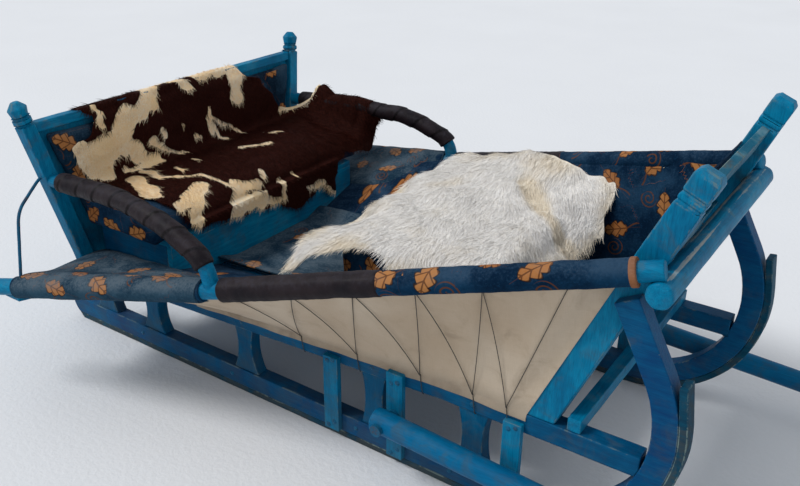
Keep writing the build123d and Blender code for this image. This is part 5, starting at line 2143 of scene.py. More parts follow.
def run_nodes(piece: bpy.types.Object, tree: bpy.types.NodeTree, values: dict[str, Any]) -> None:
    """Turns a piece into what a node tree makes of it, with values for the tree's inputs by name."""
    grown = piece.modifiers.new("nodes", "NODES")
    grown.node_group = tree
    for item in tree.interface.items_tree:
        if item.item_type == "SOCKET" and item.in_out == "INPUT" and item.name in values:
            grown[item.identifier] = values[item.name]
    settled(piece)


@dataclass
class Pelt:
    """Strands of hair or wool that grow from a surface and lie along its comb."""

    name: str
    length: float
    width: float
    density: float
    lift: float
    droop: float
    spread: float
    seed: int

    def grow(self, surface: bpy.types.Object, material: bpy.types.Material) -> bpy.types.Object:
        """The strands as one plain mesh.

        Args:
            surface: A mesh with a comb vector and the marks that the strands inherit.
            material: The strands' finish.

        Returns:
            The strands.
        """
        piece = bpy.data.objects.new(self.name, surface.data.copy())
        bpy.context.scene.collection.objects.link(piece)
        values = {
            "Length": self.length,
            "Width": self.width,
            "Density": self.density,
            "Lift": self.lift,
            "Droop": self.droop,
            "Spread": self.spread,
            "Seed": self.seed,
            "Finish": material,
        }
        run_nodes(piece, self._tree(), values)
        shade(piece, 180.0)
        return piece

    def _tree(self) -> bpy.types.NodeTree:
        """The node tree: scattered points, a curved strand on each, turned along the comb."""
        group = NodeSheet(f"{self.name}_strands")
        surface = group.input("Geometry", "NodeSocketGeometry")
        length = group.input("Length", "NodeSocketFloat", 0.03)
        width = group.input("Width", "NodeSocketFloat", 0.001)
        density = group.input("Density", "NodeSocketFloat", 1000.0)
        lift = group.input("Lift", "NodeSocketFloat", 0.3)
        droop = group.input("Droop", "NodeSocketFloat", 0.3)
        spread = group.input("Spread", "NodeSocketFloat", 0.4)
        seed = group.input("Seed", "NodeSocketInt", 1)
        finish = group.input("Finish", "NodeSocketMaterial")

        points = group.node(
            "GeometryNodeDistributePointsOnFaces",
            {"distribute_method": "RANDOM"},
            {"Mesh": surface, "Density": density, "Seed": seed},
        )
        normal = group.last("Normal")
        grid = {"Size X": 1.0, "Size Y": 1.0, "Vertices X": 2, "Vertices Y": 4}
        strand = group.node("GeometryNodeMeshGrid", None, grid)
        place = group.node("GeometryNodeInputPosition")
        x = group.node("ShaderNodeSeparateXYZ", None, {0: place}, "X")
        y = group.node("ShaderNodeSeparateXYZ", None, {0: place}, "Y") + 0.5
        slim = (1.05 - y**1.6) * width
        rise = (y - y * y * droop) * lift
        bent = group.node("ShaderNodeCombineXYZ", None, {0: x * slim, 1: y * length, 2: rise * length})
        strand = group.node("GeometryNodeSetPosition", None, {"Geometry": strand, "Position": bent})
        strand = group.node(
            "GeometryNodeStoreNamedAttribute",
            {"data_type": "FLOAT", "domain": "POINT"},
            {"Geometry": strand, "Name": "tip", "Value": y},
        )
        turned = group.node(
            "FunctionNodeAxesToRotation",
            {"primary_axis": "Z", "secondary_axis": "Y"},
            {"Primary Axis": normal, "Secondary Axis": group.named("comb")},
        )
        swing = group.random(-1.0, 1.0, seed)
        tilt = group.random(-0.20, 0.20, group.whole(seed, 7))
        roll = group.random(-0.40, 0.40, group.whole(seed, 13))
        turn = group.node("ShaderNodeCombineXYZ", None, {0: tilt, 1: roll, 2: swing * spread})
        own = group.node("FunctionNodeEulerToRotation", None, {0: turn})
        turned = group.node(
            "FunctionNodeRotateRotation", {"rotation_space": "LOCAL"}, {"Rotation": turned, "Rotate By": own}
        )
        size = group.random(0.55, 1.15, group.whole(seed, 29))
        grown = group.node(
            "GeometryNodeInstanceOnPoints",
            None,
            {"Points": points, "Instance": strand, "Rotation": turned, "Scale": size},
        )
        grown = group.node("GeometryNodeRealizeInstances", None, {0: grown})
        grown = group.node("GeometryNodeSetMaterial", None, {"Geometry": grown, "Material": finish})
        return group.end(grown)


def density_for(skin: bpy.types.Object, wanted: int) -> float:
    """How many strands a square metre give the wanted count."""
    return wanted / sum(face.area for face in skin.data.polygons)


@dataclass(frozen=True)
class Wire:
    """An output of a geometry node, with the arithmetic that adds more nodes."""

    sheet: "NodeSheet"
    socket: bpy.types.NodeSocket

    def _sum(self, operation: str, first: "Wire | Number", second: "Wire | Number") -> "Wire":
        """The result of a Math node."""
        return self.sheet.node("ShaderNodeMath", {"operation": operation}, {0: first, 1: second})

    def __add__(self, other: "Wire | Number") -> "Wire":
        """This plus another."""
        return self._sum("ADD", self, other)

    def __sub__(self, other: "Wire | Number") -> "Wire":
        """This less another."""
        return self._sum("SUBTRACT", self, other)

    def __rsub__(self, other: Number) -> "Wire":
        """A number less this."""
        return self._sum("SUBTRACT", other, self)

    def __mul__(self, other: "Wire | Number") -> "Wire":
        """This times another."""
        return self._sum("MULTIPLY", self, other)

    def __pow__(self, power: Number) -> "Wire":
        """This raised to a power."""
        return self._sum("POWER", self, power)


class NodeSheet:
    """A geometry node tree that is written one node at a time."""

    def __init__(self, name: str) -> None:
        """Starts the tree.

        Args:
            name: Its name.
        """
        self.tree = bpy.data.node_groups.new(name, "GeometryNodeTree")
        self.tree.is_modifier = True
        self.entry = self.tree.nodes.new("NodeGroupInput")
        self.latest: bpy.types.Node = self.entry

    def input(self, name: str, kind: str, value: Any = None) -> Wire:
        """Adds a named input.

        Args:
            name: Its name.
            kind: Its socket type.
            value: Its default.

        Returns:
            The input's wire.
        """
        item = self.tree.interface.new_socket(name, in_out="INPUT", socket_type=kind)
        if value is not None:
            item.default_value = value
        made = next(socket for socket in self.entry.outputs if socket.identifier == item.identifier)
        return Wire(self, made)

    def node(
        self,
        kind: str,
        settings: Optional[dict[str, Any]] = None,
        values: Optional[dict[int | str, Any]] = None,
        output: int | str = 0,
    ) -> Wire:
        """Adds a node.

        Args:
            kind: The node's type.
            settings: Its own settings.
            values: Numbers or wires for its sockets.
            output: Which output the result stands for.

        Returns:
            The output's wire.
        """
        made = self.tree.nodes.new(kind)
        self.latest = made
        for name, value in (settings or {}).items():
            setattr(made, name, value)
        for name, value in (values or {}).items():
            target = self._socket(made.inputs, name)
            if isinstance(value, Wire):
                self.tree.links.new(value.socket, target)
            else:
                target.default_value = value
        return Wire(self, self._socket(made.outputs, output))

    @staticmethod
    def _socket(sockets: Any, name: int | str) -> bpy.types.NodeSocket:
        """The enabled socket of that name or number."""
        if isinstance(name, int):
            return sockets[name]
        return next(socket for socket in sockets if socket.name == name and socket.enabled)

    def last(self, output: str) -> Wire:
        """Another output of the newest node."""
        return Wire(self, self._socket(self.latest.outputs, output))

    def whole(self, wire: Wire, more: int) -> Wire:
        """A whole number plus another."""
        return self.node("FunctionNodeIntegerMath", {"operation": "ADD"}, {0: wire, 1: more})

    def named(self, name: str) -> Wire:
        """A named vector of the mesh."""
        return self.node("GeometryNodeInputNamedAttribute", {"data_type": "FLOAT_VECTOR"}, {"Name": name})

    def random(self, low: float, high: float, seed: Wire) -> Wire:
        """A number for each point, between two others."""
        values = {"Min": low, "Max": high, "Seed": seed}
        return self.node("FunctionNodeRandomValue", {"data_type": "FLOAT"}, values, "Value")

    def end(self, geometry: Wire) -> bpy.types.NodeTree:
        """Connects the result.

        Args:
            geometry: The last geometry.

        Returns:
            The finished tree.
        """
        self.tree.interface.new_socket("Geometry", in_out="OUTPUT", socket_type="NodeSocketGeometry")
        leave = self.tree.nodes.new("NodeGroupOutput")
        self.tree.links.new(geometry.socket, leave.inputs[0])
        return self.tree


@dataclass
class CowHide:
    """The hide thrown over the back rail, down the back, over the seat and its front edge."""

    path: Sequence[tuple[float, float]] = (
        # station, height
        (206.0, 700.0), (193.0, 815.0), (251.0, 815.0), (304.0, 588.0), (628.0, 551.0), (633.0, 378.0),
    )
    radii: Sequence[float] = (0.018, 0.022, 0.070, 0.026)
    right: float = -0.50
    left: float = 0.600
    step: float = 0.0085
    lay: float = 0.0045
    front: float = 0.66
    hang: float = 0.515
    clear: float = 0.013
    outline: Sequence[Place] = (
        # y, distance along the path from its hem behind the rail
        (-0.400, 0.075), (-0.300, 0.045), (-0.180, 0.060), (-0.060, 0.035), (0.060, 0.050), (0.150, 0.060),
        (0.250, 0.070), (0.275, 0.130), (0.280, 0.175), (0.300, 0.200), (0.370, 0.210), (0.365, 0.250),
        (0.410, 0.285), (0.430, 0.340), (0.500, 0.362), (0.555, 0.372), (0.582, 0.410), (0.572, 0.500),
        (0.590, 0.580), (0.578, 0.650), (0.585, 0.705), (0.552, 0.757), (0.490, 0.735), (0.400, 0.715),
        (0.365, 0.750), (0.345, 0.800), (0.345, 0.875), (0.300, 0.850), (0.265, 0.800), (0.235, 0.820),
        (0.200, 0.820), (0.160, 0.858), (0.110, 0.845), (0.070, 0.832), (0.020, 0.790), (-0.030, 0.800),
        (-0.080, 0.775), (-0.120, 0.790), (-0.170, 0.772), (-0.235, 0.772), (-0.290, 0.750),
        (-0.340, 0.756), (-0.375, 0.700), (-0.400, 0.620), (-0.415, 0.550), (-0.440, 0.470),
        (-0.430, 0.400), (-0.455, 0.350), (-0.480, 0.310), (-0.485, 0.265), (-0.450, 0.245),
        (-0.400, 0.235), (-0.385, 0.200), (-0.375, 0.170), (-0.410, 0.150), (-0.420, 0.120),
        (-0.425, 0.095),
    )
    streaks: Sequence[tuple[float, float, float, float, float, float]] = (
        # from y and distance along, to y and distance along, half width, -1 for cream or 1 for brown
        (-0.460, 0.290, -0.370, 0.300, 0.048, -1), (-0.440, 0.335, -0.380, 0.345, 0.030, -1),
        (-0.370, 0.290, -0.300, 0.300, 0.030, -1), (-0.120, 0.110, -0.165, 0.190, 0.034, -1),
        (-0.165, 0.190, -0.250, 0.225, 0.028, -1), (-0.250, 0.205, -0.290, 0.250, 0.044, -1),
        (-0.290, 0.250, -0.370, 0.275, 0.028, -1), (-0.300, 0.260, -0.250, 0.330, 0.030, -1),
        (-0.260, 0.325, -0.195, 0.370, 0.020, -1), (-0.190, 0.310, -0.135, 0.356, 0.012, -1),
        (-0.135, 0.356, -0.065, 0.380, 0.006, -1), (-0.070, 0.100, 0.000, 0.120, 0.014, -1),
        (0.000, 0.120, 0.020, 0.165, 0.018, -1), (0.100, 0.110, 0.260, 0.110, 0.046, -1),
        (0.250, 0.160, 0.220, 0.250, 0.030, -1), (0.160, 0.170, 0.175, 0.215, 0.024, 1),
        (0.095, 0.272, 0.075, 0.316, 0.008, -1), (0.075, 0.316, 0.135, 0.384, 0.006, -1),
        (0.090, 0.300, 0.210, 0.376, 0.006, -1), (0.070, 0.310, 0.085, 0.345, 0.010, -1),
        (0.255, 0.432, 0.300, 0.476, 0.005, -1), (0.095, 0.476, 0.195, 0.528, 0.010, -1),
        (-0.140, 0.288, -0.130, 0.300, 0.013, -1), (-0.320, 0.368, -0.240, 0.372, 0.007, -1),
        (-0.240, 0.372, -0.200, 0.378, 0.012, -1), (-0.275, 0.400, -0.275, 0.476, 0.014, -1),
        (-0.275, 0.476, -0.165, 0.544, 0.006, -1), (-0.165, 0.544, -0.145, 0.652, 0.008, -1),
        (-0.195, 0.460, -0.185, 0.492, 0.008, -1), (-0.335, 0.424, -0.360, 0.500, 0.028, -1),
        (-0.360, 0.500, -0.385, 0.560, 0.032, -1), (-0.225, 0.604, -0.300, 0.640, 0.030, -1),
        (-0.300, 0.640, -0.360, 0.665, 0.022, -1), (-0.280, 0.650, -0.340, 0.730, 0.022, -1),
        (0.015, 0.650, -0.010, 0.680, 0.012, -1), (-0.115, 0.664, -0.050, 0.700, 0.025, -1),
        (-0.130, 0.700, -0.175, 0.770, 0.030, -1), (-0.120, 0.750, -0.060, 0.760, 0.030, -1),
        (-0.060, 0.760, 0.030, 0.785, 0.014, -1), (0.055, 0.724, 0.055, 0.788, 0.008, -1),
        (0.185, 0.790, 0.265, 0.800, 0.012, -1), (0.265, 0.800, 0.335, 0.860, 0.007, -1),
        (0.130, 0.705, 0.140, 0.720, 0.007, -1), (-0.360, 0.140, -0.360, 0.220, 0.010, -1),
        (0.530, 0.370, 0.555, 0.410, 0.018, -1), (0.440, 0.350, 0.520, 0.362, 0.010, -1),
        (-0.050, 0.285, -0.040, 0.295, 0.006, -1), (0.000, 0.345, 0.015, 0.350, 0.005, -1),
        (-0.100, 0.445, -0.090, 0.455, 0.006, -1),
    )

    def build(self, bench: Bench, under: Sequence[bpy.types.Object]) -> None:
        """Makes the skin and its hair.

        Args:
            bench: Where the pieces are made ready.
            under: What the hide lies on.
        """
        corners = [LAYOUT.place(station, 0, height) for station, height in self.path]
        line = rounded_line(corners, self.radii, self.step)
        normals = self._normals(line)
        columns = round((self.left - self.right) / self.step)
        ground = Ground(under)
        rows = []
        for place, normal in zip(line, normals):
            row = []
            for column in range(columns + 1):
                y = self.right + (self.left - self.right) * column / columns
                point = Vector((place.x, y, place.z))
                hit = ground.below(point + normal * 0.10, -normal, 0.16)
                row.append(hit + normal * self.lay if hit else point)
            rows.append(row)
        rows = smooth_grid(rows, 14)
        self._rumple(rows, normals)
        rows = self._clear(rows, normals, ground)
        self._hang_clear(rows, line)
        gap = [index * self.step for index in range(len(line))]
        keep = self._keeper(rows, gap)
        patch = [self._patch(point.y, along) for row, along in zip(rows, gap) for point in row]
        skin = ClothGrid("cow_hide_skin", rows, 0.0, keep=keep, marks={"patch": patch}).build()
        self._face_out(skin)
        self._comb(skin)
        hair = Pelt("cow_hide_hair", 0.026, 0.0016, density_for(skin, 28300), 0.26, 0.75, 0.50, 11)
        strands = hair.grow(skin, bench.palette.hair)
        thicken(skin, 0.0032)
        bench.put(skin, bench.palette.hide_skin, replaces=["cow_hide"])
        bench.put(strands, bench.palette.hair)

    @staticmethod
    def _normals(line: Sequence[Vector]) -> list[Vector]:
        """The outward direction at each point of the path, up and forward."""
        result = []
        for index in range(len(line)):
            ahead = (line[min(len(line) - 1, index + 1)] - line[max(0, index - 1)]).normalized()
            result.append(Vector((-ahead.z, 0, ahead.x)))
        return result

    def _rumple(self, rows: list[list[Vector]], normals: Sequence[Vector]) -> None:
        """Gives the hide its low folds and its curled edges."""
        for index, (row, normal) in enumerate(zip(rows, normals)):
            along = index * self.step
            for column, point in enumerate(row):
                fold = max(0.0, ripple(Vector((along * 0.7, point.y * 1.2, 0.3)), 0.16, 2.0)) * 0.020
                small = ripple(Vector((along, point.y, 1.3)), 0.055, 4.0) * 0.004
                near = outline_gap(self.outline, point.y, along)
                lifted = max(0.0, ripple(Vector((along, point.y, 5)), 0.09))
                curl = math.exp(-near / 0.016) * (0.006 + 0.010 * lifted)
                raised = 0.038 * smoothstep(point.y, 0.47, 0.57) * smoothstep(along, 0.30, 0.38)
                raised *= 1 - smoothstep(along, 0.46, 0.68)
                row[column] = point + normal * (fold + small + curl + raised)

    def _clear(
        self, rows: list[list[Vector]], normals: Sequence[Vector], ground: Ground
    ) -> list[list[Vector]]:
        """Lifts what has sunk into the padding."""
        for row, normal in zip(rows, normals):
            for column, point in enumerate(row):
                hit = ground.below(point + normal * 0.08, -normal, 0.08)
                if hit:
                    row[column] = hit + normal * self.lay
        return rows

    def _hang_clear(self, rows: Sequence[Sequence[Vector]], line: Sequence[Vector]) -> None:
        """Keeps the front of the hide, below where it starts to hang, ahead of the seat board's edge."""
        edge = LAYOUT.place(SEAT_FACE, 0, 0).x + self.clear
        for index, row in enumerate(rows):
            if index * self.step < self.front or line[index].z > self.hang:
                continue
            for point in row:
                point.x = max(point.x, edge)

    def _keeper(self, rows: Sequence[Sequence[Vector]], gap: Sequence[float]) -> Callable[[int, int], bool]:
        """The test of whether a cell of the grid is part of the hide."""

        def keep(row: int, column: int) -> bool:
            y = (rows[row][column].y + rows[row][column + 1].y) / 2
            along = gap[row] + self.step / 2
            coarse = ripple(Vector((along, y, 2.0)), 0.03) * 0.016
            ragged = coarse + ripple(Vector((along, y, 7.0)), 0.012) * 0.009
            return inside(self.outline, y + ragged, along + ragged * 0.8)

        return keep

    def _patch(self, y: float, along: float) -> float:
        """How brown the hide is at a flat place, above 0 for brown."""
        warp = self._wander(along, y, 3.0)
        other = self._wander(along, y, 13.0)
        value = 1.0
        for from_y, from_along, to_y, to_along, half, tone in self.streaks:
            gap = outline_gap([(from_y, from_along), (to_y, to_along)], y + warp, along + other) / half - 1
            value = min(value, gap) if tone < 0 else max(value, -gap)
        return value

    @staticmethod
    def _wander(along: float, y: float, seed: float) -> float:
        """How far the edge of a patch strays from its drawn line."""
        coarse = ripple(Vector((along, y, seed)), 0.05) * 0.014
        return coarse + ripple(Vector((along, y, seed + 6.0)), 0.02) * 0.008

    @staticmethod
    def _face_out(skin: bpy.types.Object) -> None:
        """Turns the faces away from the seat."""
        score = sum(face.normal.z + face.normal.x * 0.5 for face in skin.data.polygons)
        if score < 0:
            skin.data.flip_normals()

    @staticmethod
    def _comb(skin: bpy.types.Object) -> None:
        """Stores which way the hair lies at each point."""
        combs = []
        for vertex in skin.data.vertices:
            point = vertex.co
            swirl = ripple(Vector((point.x, point.y, point.z)), 0.16, 31.0) * 1.6
            direction = Vector((0.75, math.sin(swirl) * 0.8 - 0.25, -0.65))
            flat = direction - vertex.normal * direction.dot(vertex.normal)
            combs.append(flat.normalized() if flat.length > 0.05 else Vector((1, 0, 0)))
        set_mark(skin, "comb", combs, "FLOAT_VECTOR")


@dataclass
class Sheepskin:
    """The long-haired skin over the driver's cushion, one side of it up over the far pole."""

    outline: Sequence[tuple[float, float]] = (
        # station, y in millimetres
        (962.0, -330.0), (948.0, -200.0), (965.0, 0.0), (985.0, 200.0), (1000.0, 400.0), (1040.0, 505.0),
        (1100.0, 540.0), (1200.0, 520.0), (1290.0, 520.0), (1390.0, 512.0), (1480.0, 470.0),
        (1590.0, 450.0), (1660.0, 425.0), (1680.0, 330.0), (1665.0, 200.0), (1680.0, 60.0),
        (1675.0, -80.0), (1650.0, -200.0), (1590.0, -258.0), (1480.0, -264.0), (1380.0, -258.0),
        (1310.0, -245.0), (1260.0, -205.0), (1190.0, -200.0), (1110.0, -228.0), (1060.0, -266.0),
        (1030.0, -290.0), (1005.0, -330.0),
    )
    tops: Sequence[tuple[float, float, float]] = (
        # station, y, height of the skin under the wool
        (962.0, -340.0, 448.0), (1060.0, -260.0, 515.0), (1190.0, -210.0, 545.0), (1000.0, -200.0, 500.0),
        (1130.0, -120.0, 545.0), (1290.0, -170.0, 530.0), (980.0, 0.0, 470.0), (1100.0, 60.0, 570.0),
        (1250.0, -20.0, 560.0), (990.0, 200.0, 500.0), (1100.0, 260.0, 585.0), (1250.0, 180.0, 585.0),
        (1330.0, 60.0, 556.0), (1440.0, 110.0, 548.0), (1390.0, 220.0, 566.0), (1520.0, 220.0, 550.0),
        (1000.0, 400.0, 530.0), (1100.0, 450.0, 585.0), (1130.0, 520.0, 588.0), (1250.0, 400.0, 612.0),
        (1250.0, 510.0, 622.0), (1400.0, 400.0, 615.0), (1340.0, 500.0, 668.0), (1430.0, 480.0, 664.0),
        (1520.0, 360.0, 580.0), (1520.0, 460.0, 668.0), (1620.0, 330.0, 530.0), (1600.0, 440.0, 640.0),
        (1660.0, 420.0, 628.0), (1290.0, -255.0, 425.0), (1400.0, -255.0, 415.0), (1520.0, -255.0, 410.0),
        (1420.0, -150.0, 520.0), (1560.0, -120.0, 505.0), (1600.0, 60.0, 515.0), (1600.0, 200.0, 520.0),
        (1690.0, -80.0, 410.0), (1695.0, 60.0, 415.0), (1690.0, 200.0, 440.0), (1680.0, 330.0, 480.0),
    )
    step: float = 0.0095
    clear: float = 0.008
    lay: float = 0.006

    def build(self, bench: Bench, under: Sequence[bpy.types.Object]) -> None:
        """Makes the skin and its wool.

        Args:
            bench: Where the pieces are made ready.
            under: What it lies on.
        """
        outline = [(station / 1000.0 - LAYOUT.half_length, y / 1000.0) for station, y in self.outline]
        low_x = min(x for x, _ in outline)
        high_x = max(x for x, _ in outline)
        low_y = min(y for _, y in outline)
        high_y = max(y for _, y in outline)
        ground = Ground(under)
        rows = []
        for row in range(int((high_y - low_y) / self.step) + 2):
            y = low_y + row * self.step
            line = []
            for column in range(int((high_x - low_x) / self.step) + 2):
                x = low_x + column * self.step
                hit = ground.under(x, y)
                floor = hit.z + self.clear if hit else 0.0
                line.append(Vector((x, y, max(self._height(x, y), floor))))
            rows.append(line)
        rows = smooth_grid(rows, 5)
        for line in rows:
            for index, point in enumerate(line):
                tuft = ripple(point, 0.075, 6.0) * 0.008 + ripple(point, 0.03, 8.0) * 0.0035
                crease = self._crease(point)
                near = outline_gap(outline, point.x, point.y)
                roll = math.exp(-near / 0.020) * 0.012
                line[index] = point + Vector((0, 0, tuft - crease - roll))
                hit = ground.under(point.x, point.y)
                if hit and line[index].z < hit.z + self.lay:
                    line[index].z = hit.z + self.lay

        def keep(row: int, column: int) -> bool:
            point = (rows[row][column] + rows[row + 1][column + 1]) / 2
            ragged = ripple(point, 0.05, 12.0) * 0.018 + ripple(point, 0.02, 15.0) * 0.008
            return inside(outline, point.x + ragged, point.y + ragged)

        # The warm mark holds yellowed wool and the painted shade in the crease.
        warm = [self._warmth(point, outline) for line in rows for point in line]
        skin = ClothGrid("sheepskin_hide", rows, 0.0, keep=keep, marks={"warm": warm}).build()
        if sum(face.normal.z for face in skin.data.polygons) < 0:
            skin.data.flip_normals()
        self._comb(skin)
        pelt = Pelt("sheepskin_wool", 0.034, 0.0019, density_for(skin, 28500), 0.22, 0.80, 0.26, 23)
        wool = pelt.grow(skin, bench.palette.wool)
        thicken(skin, self.lay)
        bench.put(skin, bench.palette.fleece_skin, replaces=["sheepskin"])
        bench.put(wool, bench.palette.wool)

    def _height(self, x: float, y: float) -> float:
        """The wanted height of the skin, from the table's nearest rows."""
        station = (x + LAYOUT.half_length) * 1000.0
        out = y * 1000.0
        total = 0.0
        height = 0.0
        for at_station, at_out, high in self.tops:
            gap = math.hypot(station - at_station, out - at_out) / 100.0
            weight = 1.0 / (gap**3 + 0.08)
            total += weight
            height += weight * high
        return height / total / 1000.0

    @staticmethod
    def _crease(point: Vector) -> float:
        """The valley between the cushion's top and the side of the body."""
        x = point.x + LAYOUT.half_length
        start = Vector((1.390, 0.360))
        end = Vector((1.610, 0.190))
        run = end - start
        share = max(0.0, min(1.0, (Vector((x, point.y)) - start).dot(run) / run.length_squared))
        gap = (Vector((x, point.y)) - start - run * share).length
        return math.exp(-((gap / 0.034) ** 2)) * 0.022

    @staticmethod
    def _warmth(point: Vector, outline: Sequence[Place]) -> float:
        """How yellowed the wool is at a point, with painted shade as more cream in the crease."""
        near = outline_gap(outline, point.x, point.y)
        rim = 0.45 * math.exp(-near / 0.05) + 0.15
        return rim + ripple(point, 0.12, 2.0) * 0.4 + Sheepskin._crease(point) * 36.0

    @staticmethod
    def _comb(skin: bpy.types.Object) -> None:
        """Stores which way the wool lies: down the slopes and out over the edges."""
        middle = Vector((-0.86, 0.95, 0))
        combs = []
        for vertex in skin.data.vertices:
            point = vertex.co
            away = Vector((point.x, point.y, 0)) - middle
            slope = Vector((vertex.normal.x, vertex.normal.y, 0))
            swirl = ripple(point, 0.12, 3.0) * 0.8
            direction = away.normalized() + slope * 0.9
            direction.rotate(Matrix.Rotation(swirl, 3, "Z"))
            flat = direction - vertex.normal * direction.dot(vertex.normal)
            combs.append(flat.normalized() if flat.length > 0.02 else Vector((1, 0, 0)))
        set_mark(skin, "comb", combs, "FLOAT_VECTOR")


@dataclass
class DriversPlace:
    """The driver's cushion, the cloth on the floor and the lining of the front wall."""

    floor_leaves: Sequence[tuple[float, float, float]] = (
        (850.0, -0.330, 30.0), (930.0, -0.200, 200.0), (760.0, -0.240, 120.0), (720.0, 0.050, 60.0),
        (850.0, 0.120, 330.0), (760.0, 0.300, 15.0), (950.0, 0.330, 160.0), (1700.0, 0.060, 60.0),
        (1690.0, -0.180, 130.0), (1560.0, -0.060, 20.0), (1480.0, -0.240, 220.0), (1080.0, -0.300, 40.0),
        (1620.0, 0.250, 300.0),
    )

    floor_ends: tuple[float, float] = (624.0, 1750.0)
    floor_half: float = 0.262

    def build(self, bench: Bench) -> list[bpy.types.Object]:
        """Makes the pieces.

        Args:
            bench: Where the pieces are made ready.

        Returns:
            The pieces that the sheepskin can lie on.
        """
        cloth = self._floor_cloth(bench)
        self._front_lining(bench)
        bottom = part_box("driver_cushion")[0].z
        padding = Padding(voxel=0.0105, most=0.012, shrink=0.008, flat_below=bottom + 0.002)
        pad = padding.swell("driver_cushion", "driver_cushion_pad")
        BoxPrint({"-y": leaves([(1080.0, 0.43, 30.0), (1190.0, 0.45, 120.0)])}).print_on(pad)
        bench.put(pad, bench.palette.velour, replaces=["driver_cushion"])
        return [cloth, pad]

    def _floor_cloth(self, bench: Bench) -> bpy.types.Object:
        """The velour on the floor, which rises a little at its sides."""
        rows = []
        marks = []
        start, end = self.floor_ends
        columns, across = 120, 56
        for row in range(across + 1):
            share = row / across
            y = self.floor_half * (2 * share - 1)
            line = []
            for column in range(columns + 1):
                station = start + (end - start) * column / columns
                rise = 26.0 * smoothstep(abs(y), 0.170, self.floor_half)
                fold = ripple(Vector((station / 1000.0, y, 0)), 0.14, 5.0)
                small = ripple(Vector((station / 1000.0, y, 3)), 0.05, 5.0)
                bump = max(0.0, fold) * 9.0 + small * 1.8 + 2.2
                line.append(LAYOUT.place(station, y * 1000.0, RAIL.floor(station) + 5.0 + rise + bump))
                marks.append((station / 1000.0 - LAYOUT.half_length, y))
            rows.append(line)
        cloth = ClothGrid("floor_velour", rows, 0.0, outward=Vector((0, 0, 1))).build()
        set_mark(cloth, "leaf", leaf_marks(marks, leaves(self.floor_leaves), strip=0.012), "FLOAT_VECTOR")
        thicken(cloth, 0.004)
        # The frosted copy: its lighter colours are painted light on the shaded floor.
        bench.put(cloth, bench.palette.frosted, replaces=["floor_cloth"])
        return cloth

    def _front_lining(self, bench: Bench) -> None:
        """The velour on the inside of the front wall, in soft waves between its nails."""
        low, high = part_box("front_lining")
        rows = []
        marks = []
        columns, count = 64, 56
        for row in range(count + 1):
            rise = row / count
            height = low.z + 0.006 + (high.z - low.z - 0.012) * rise
            base = low.x + (high.x - low.x) * rise
            half = 0.347 - 0.0441 * rise
            line = []
            for column in range(columns + 1):
                share = column / columns
                y = -half + 2 * half * share
                broad = ripple(Vector((y, 0, height)), 0.11, 3.0) * 0.006
                wave = broad + ripple(Vector((y, 2, height)), 0.045) * 0.002
                bulge = -0.010 * math.sin(math.pi * share) * math.sin(math.pi * rise)
                line.append(Vector((base - 0.002 + wave * math.sin(math.pi * share) + bulge, y, height)))
                marks.append((y, height))
            rows.append(line)
        lining = ClothGrid("front_velour", rows, 0.0, outward=Vector((-1, 0, 0.3))).build()
        spots = []
        for k in range(5):
            aside = -0.18 + 0.17 * (k % 3) + (0.06 if k % 2 else 0.0)
            spots.append(LeafSpot(aside, 0.47 + 0.085 * k, 67.0 * k, 0.04, 0.6))
        set_mark(lining, "leaf", leaf_marks(marks, spots, strip=0.012), "FLOAT_VECTOR")
        thicken(lining, 0.005)
        bench.put(lining, bench.palette.velour, replaces=["front_lining"])


